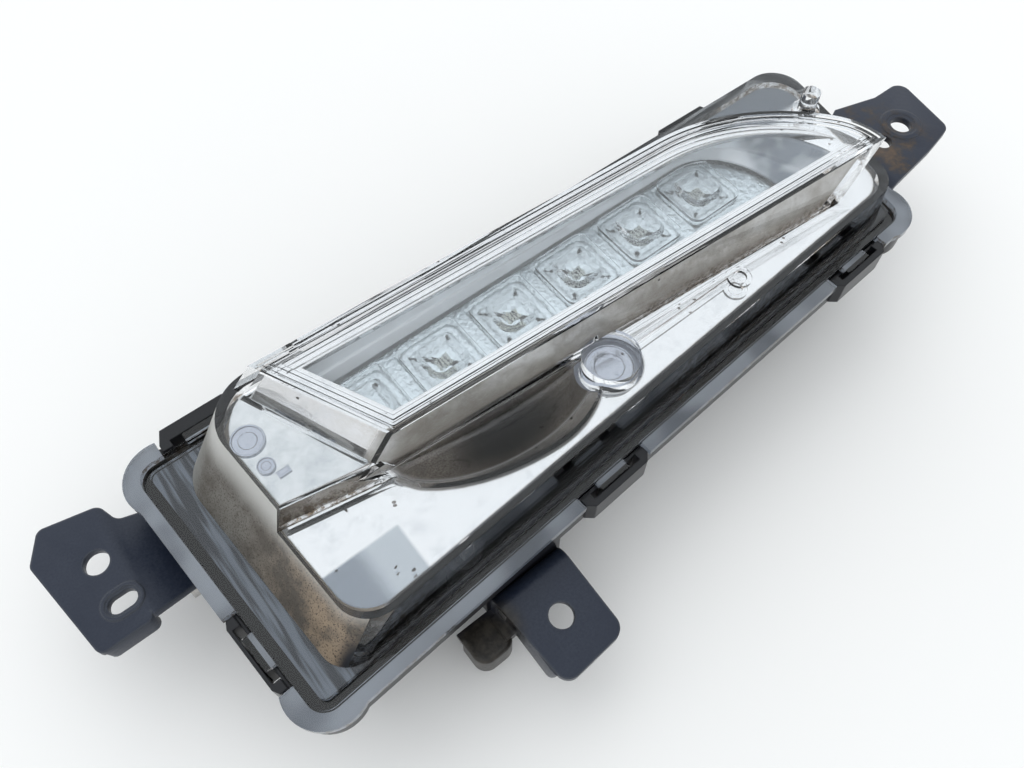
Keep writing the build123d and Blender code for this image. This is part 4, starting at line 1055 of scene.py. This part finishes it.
select_faces(die, in_slit)
bpy.ops.mesh.inset(thickness=slit_rim, use_individual=True)
push(-slit_depth)
die.active_material_index = 1
bpy.ops.object.material_slot_assign()
leave()
for piece in copy_along(die, "light_die"):
    settle(piece, None, "led_yellow")

# %% [markdown]
# On the raised plateau the bezel carries three small moulded features: a dished round boss, a
# smaller stake and a low stub. One more dished round lies in the cup under the boss of the lens.
# Each round starts as a cylinder and gets its dish, with a raised middle, by inset and extrude.
# They fill most of the one millimetre between film and lens.

# %% Dished rounds on the plateau and in the cup
cup_z = 0.049
round_height = 0.0008
sunk_foot = 0.0001
softened = 0.0002


def dished_round(title, x, y, floor_z, radius, rim, dish):
    deselect()
    bpy.ops.mesh.primitive_cylinder_add(
        vertices=48, radius=radius, depth=round_height,
        location=(x, y, floor_z + round_height / 2 - sunk_foot),
    )
    piece = bpy.context.object
    piece.name = title
    bpy.ops.object.transform_apply(location=True, rotation=True, scale=True)
    select_faces(piece, lambda face: face.normal.z > 0.9)
    bpy.ops.mesh.inset(thickness=rim)
    push(-dish)
    bpy.ops.mesh.inset(thickness=radius * 0.35)
    push(dish * 0.6)
    leave()
    round_off(piece, softened, 3, 30.0, 50.0)
    settle(piece, lilac_film, "bright_film")


dished_round("plateau_boss", -0.0891, 0.0166, plateau_z, 0.0044, 0.0005, 0.0005)
dished_round("plateau_stake", -0.089, 0.0079, plateau_z, 0.0023, 0.0003, 0.0004)
dished_round("cup_ring", boss_spot[0], boss_spot[1], cup_z, 0.0068, 0.0004, 0.0005)
print("rounds made")

# %% [markdown]
# The stub is a low moulded block with a raised step. It is made like the rounds, but from a block:
# its top is inset and drawn up, and its edges are softened by the same Bevel modifier.

# %% Low stub on the plateau
stub_size = (0.0034, 0.0019, 0.0006)
stub_rim = 0.0004
stub_step = 0.0002
stub_spot = (-0.0864, 0.004, plateau_z + stub_size[2] / 2 - sunk_foot)
stub = add_block("plateau_stub", stub_spot, stub_size)
select_faces(stub, lambda face: face.normal.z > 0.9)
bpy.ops.mesh.inset(thickness=stub_rim)
push(stub_step)
leave()
round_off(stub, softened, 3, 30.0, 50.0)
settle(stub, lilac_film, "bright_film")

# %% [markdown]
# The lamp lies on a pale floor. The floor is a wide disc, big enough for its soft shadow, and it
# belongs to the stage and not to the lamp.

# %% Floor
floor_pale, floor_warm = (0.918, 0.92, 0.92, 1.0), (0.945, 0.94, 0.935, 1.0)
floor_radius = 0.6
deselect()
bpy.ops.mesh.primitive_circle_add(
    vertices=96, radius=floor_radius, fill_type="NGON", location=(0, 0, cad_low[2])
)
floor = bpy.context.object
floor.name = "pale floor"
floor_white, tree, shader, _ = start_material("pale floor", Roughness=0.7)
cloud = noise(tree, where(tree)[0], 6.0, 4.0, 0.5)
join(tree, blend(tree, cloud, floor_pale, floor_warm), shader.inputs["Base Color"])
floor.data.materials.append(floor_white)
print("floor at", round(cad_low[2], 4))

# %% [markdown]
# The light is plain and soft, from an even sky. Mirrors need something to show, so reflections and
# views through the lens see a sky that is white above and behind, and dimmer on the viewer's side,
# as in a room with one large window. Light that has already been scattered by a matt surface comes
# from the even sky, also through the lens, and the camera itself sees plain white.

# %% Sky
even_sky = {"Color": (0.965, 0.99, 1.0, 1.0), "Strength": 0.985}
white_sky = {"Color": (1.0, 1.0, 1.0, 1.0), "Strength": 1.0}
room_strength = 1.3
bright_side = (-0.2, 0.55, 0.81)
room_ends = ((0.2, (0.55, 0.545, 0.54, 1.0)), (0.78, (0.925, 0.965, 0.99, 1.0)))
room_tones = (
    (0.42, (0.34, 0.338, 0.336, 1.0)),
    (0.49, (0.46, 0.462, 0.464, 1.0)),
    (0.56, (0.72, 0.73, 0.735, 1.0)),
    (0.64, (0.9, 0.93, 0.95, 1.0)),
)
world = bpy.data.worlds.new("soft room")
bpy.context.scene.world = world
world.use_nodes = True
tree = world.node_tree
tree.nodes.clear()
output = put(tree, "ShaderNodeOutputWorld")
even = put(tree, "ShaderNodeBackground", even_sky)
white = put(tree, "ShaderNodeBackground", white_sky)
room = put(tree, "ShaderNodeBackground", {"Strength": room_strength})
place = put(tree, "ShaderNodeTexCoord")
along = put(tree, "ShaderNodeVectorMath", operation="DOT_PRODUCT")
along.inputs[1].default_value = bright_side
spread = put(tree, "ShaderNodeMapRange", {"From Min": -1.0, "From Max": 1.0})
tones = put(tree, "ShaderNodeValToRGB")
ramp = tones.color_ramp
for element, (part, tone) in zip(ramp.elements, room_ends):
    element.position = part
    element.color = tone
for part, tone in room_tones:
    ramp.elements.new(part).color = tone
join(tree, place.outputs["Generated"], along.inputs[0])
join(tree, along.outputs["Value"], spread.inputs["Value"])
join(tree, spread.outputs["Result"], tones.inputs["Fac"])
join(tree, tones.outputs["Color"], room.inputs["Color"])
path = put(tree, "ShaderNodeLightPath")
sharp = either(tree, path.outputs["Is Glossy Ray"], path.outputs["Is Transmission Ray"])
mirrored = times(tree, sharp, band(tree, path.outputs["Diffuse Depth"], 0.9, 0.1))
first = put(tree, "ShaderNodeMixShader")
second = put(tree, "ShaderNodeMixShader")
join(tree, mirrored, first.inputs["Fac"])
join(tree, even.outputs["Background"], first.inputs[1])
join(tree, room.outputs["Background"], first.inputs[2])
join(tree, path.outputs["Is Camera Ray"], second.inputs["Fac"])
join(tree, first.outputs["Shader"], second.inputs[1])
join(tree, white.outputs["Background"], second.inputs[2])
join(tree, second.outputs["Shader"], output.inputs["Surface"])
print("sky set:", world.name)

# %% [markdown]
# One broad sun stands behind the lamp, so that a soft shadow falls towards the front. It is kept
# out of the mirrors, where the bright side of the sky already stands for it.

# %% Sun
sun_way = Vector((0.05, -0.62, -0.78))
sun_data = bpy.data.lights.new("broad sun", "SUN")
sun_data.energy = 0.45
sun_data.angle = radians(60.0)
sun = bpy.data.objects.new("broad sun", sun_data)
bpy.context.scene.collection.objects.link(sun)
sun.rotation_euler = sun_way.to_track_quat("-Z", "Y").to_euler()
sun.visible_glossy = False
sun.visible_transmission = False
print("sun set:", sun.name)

# %% [markdown]
# The camera stands where the photographer stood: close above the left end, looking down along the
# lamp, with a lens a little wider than normal. The Standard view shows each colour about as it is
# written.

# %% Camera and colour
camera_spot = Vector((-0.0995, -0.1004, 0.25765))
camera_target = Vector((-0.022, -0.003, 0.042))
camera_data = bpy.data.cameras.new("camera")
camera_data.sensor_fit = "HORIZONTAL"
camera_data.sensor_width = 36.0
camera_data.lens = 31.64
camera_data.clip_start = 0.01
camera = bpy.data.objects.new("camera", camera_data)
bpy.context.scene.collection.objects.link(camera)
camera.location = camera_spot
camera.rotation_euler = (camera_target - camera_spot).to_track_quat("-Z", "Y").to_euler()
bpy.context.scene.camera = camera
bpy.context.scene.view_settings.view_transform = "Standard"
print("camera at", tuple(round(v, 4) for v in camera.location))
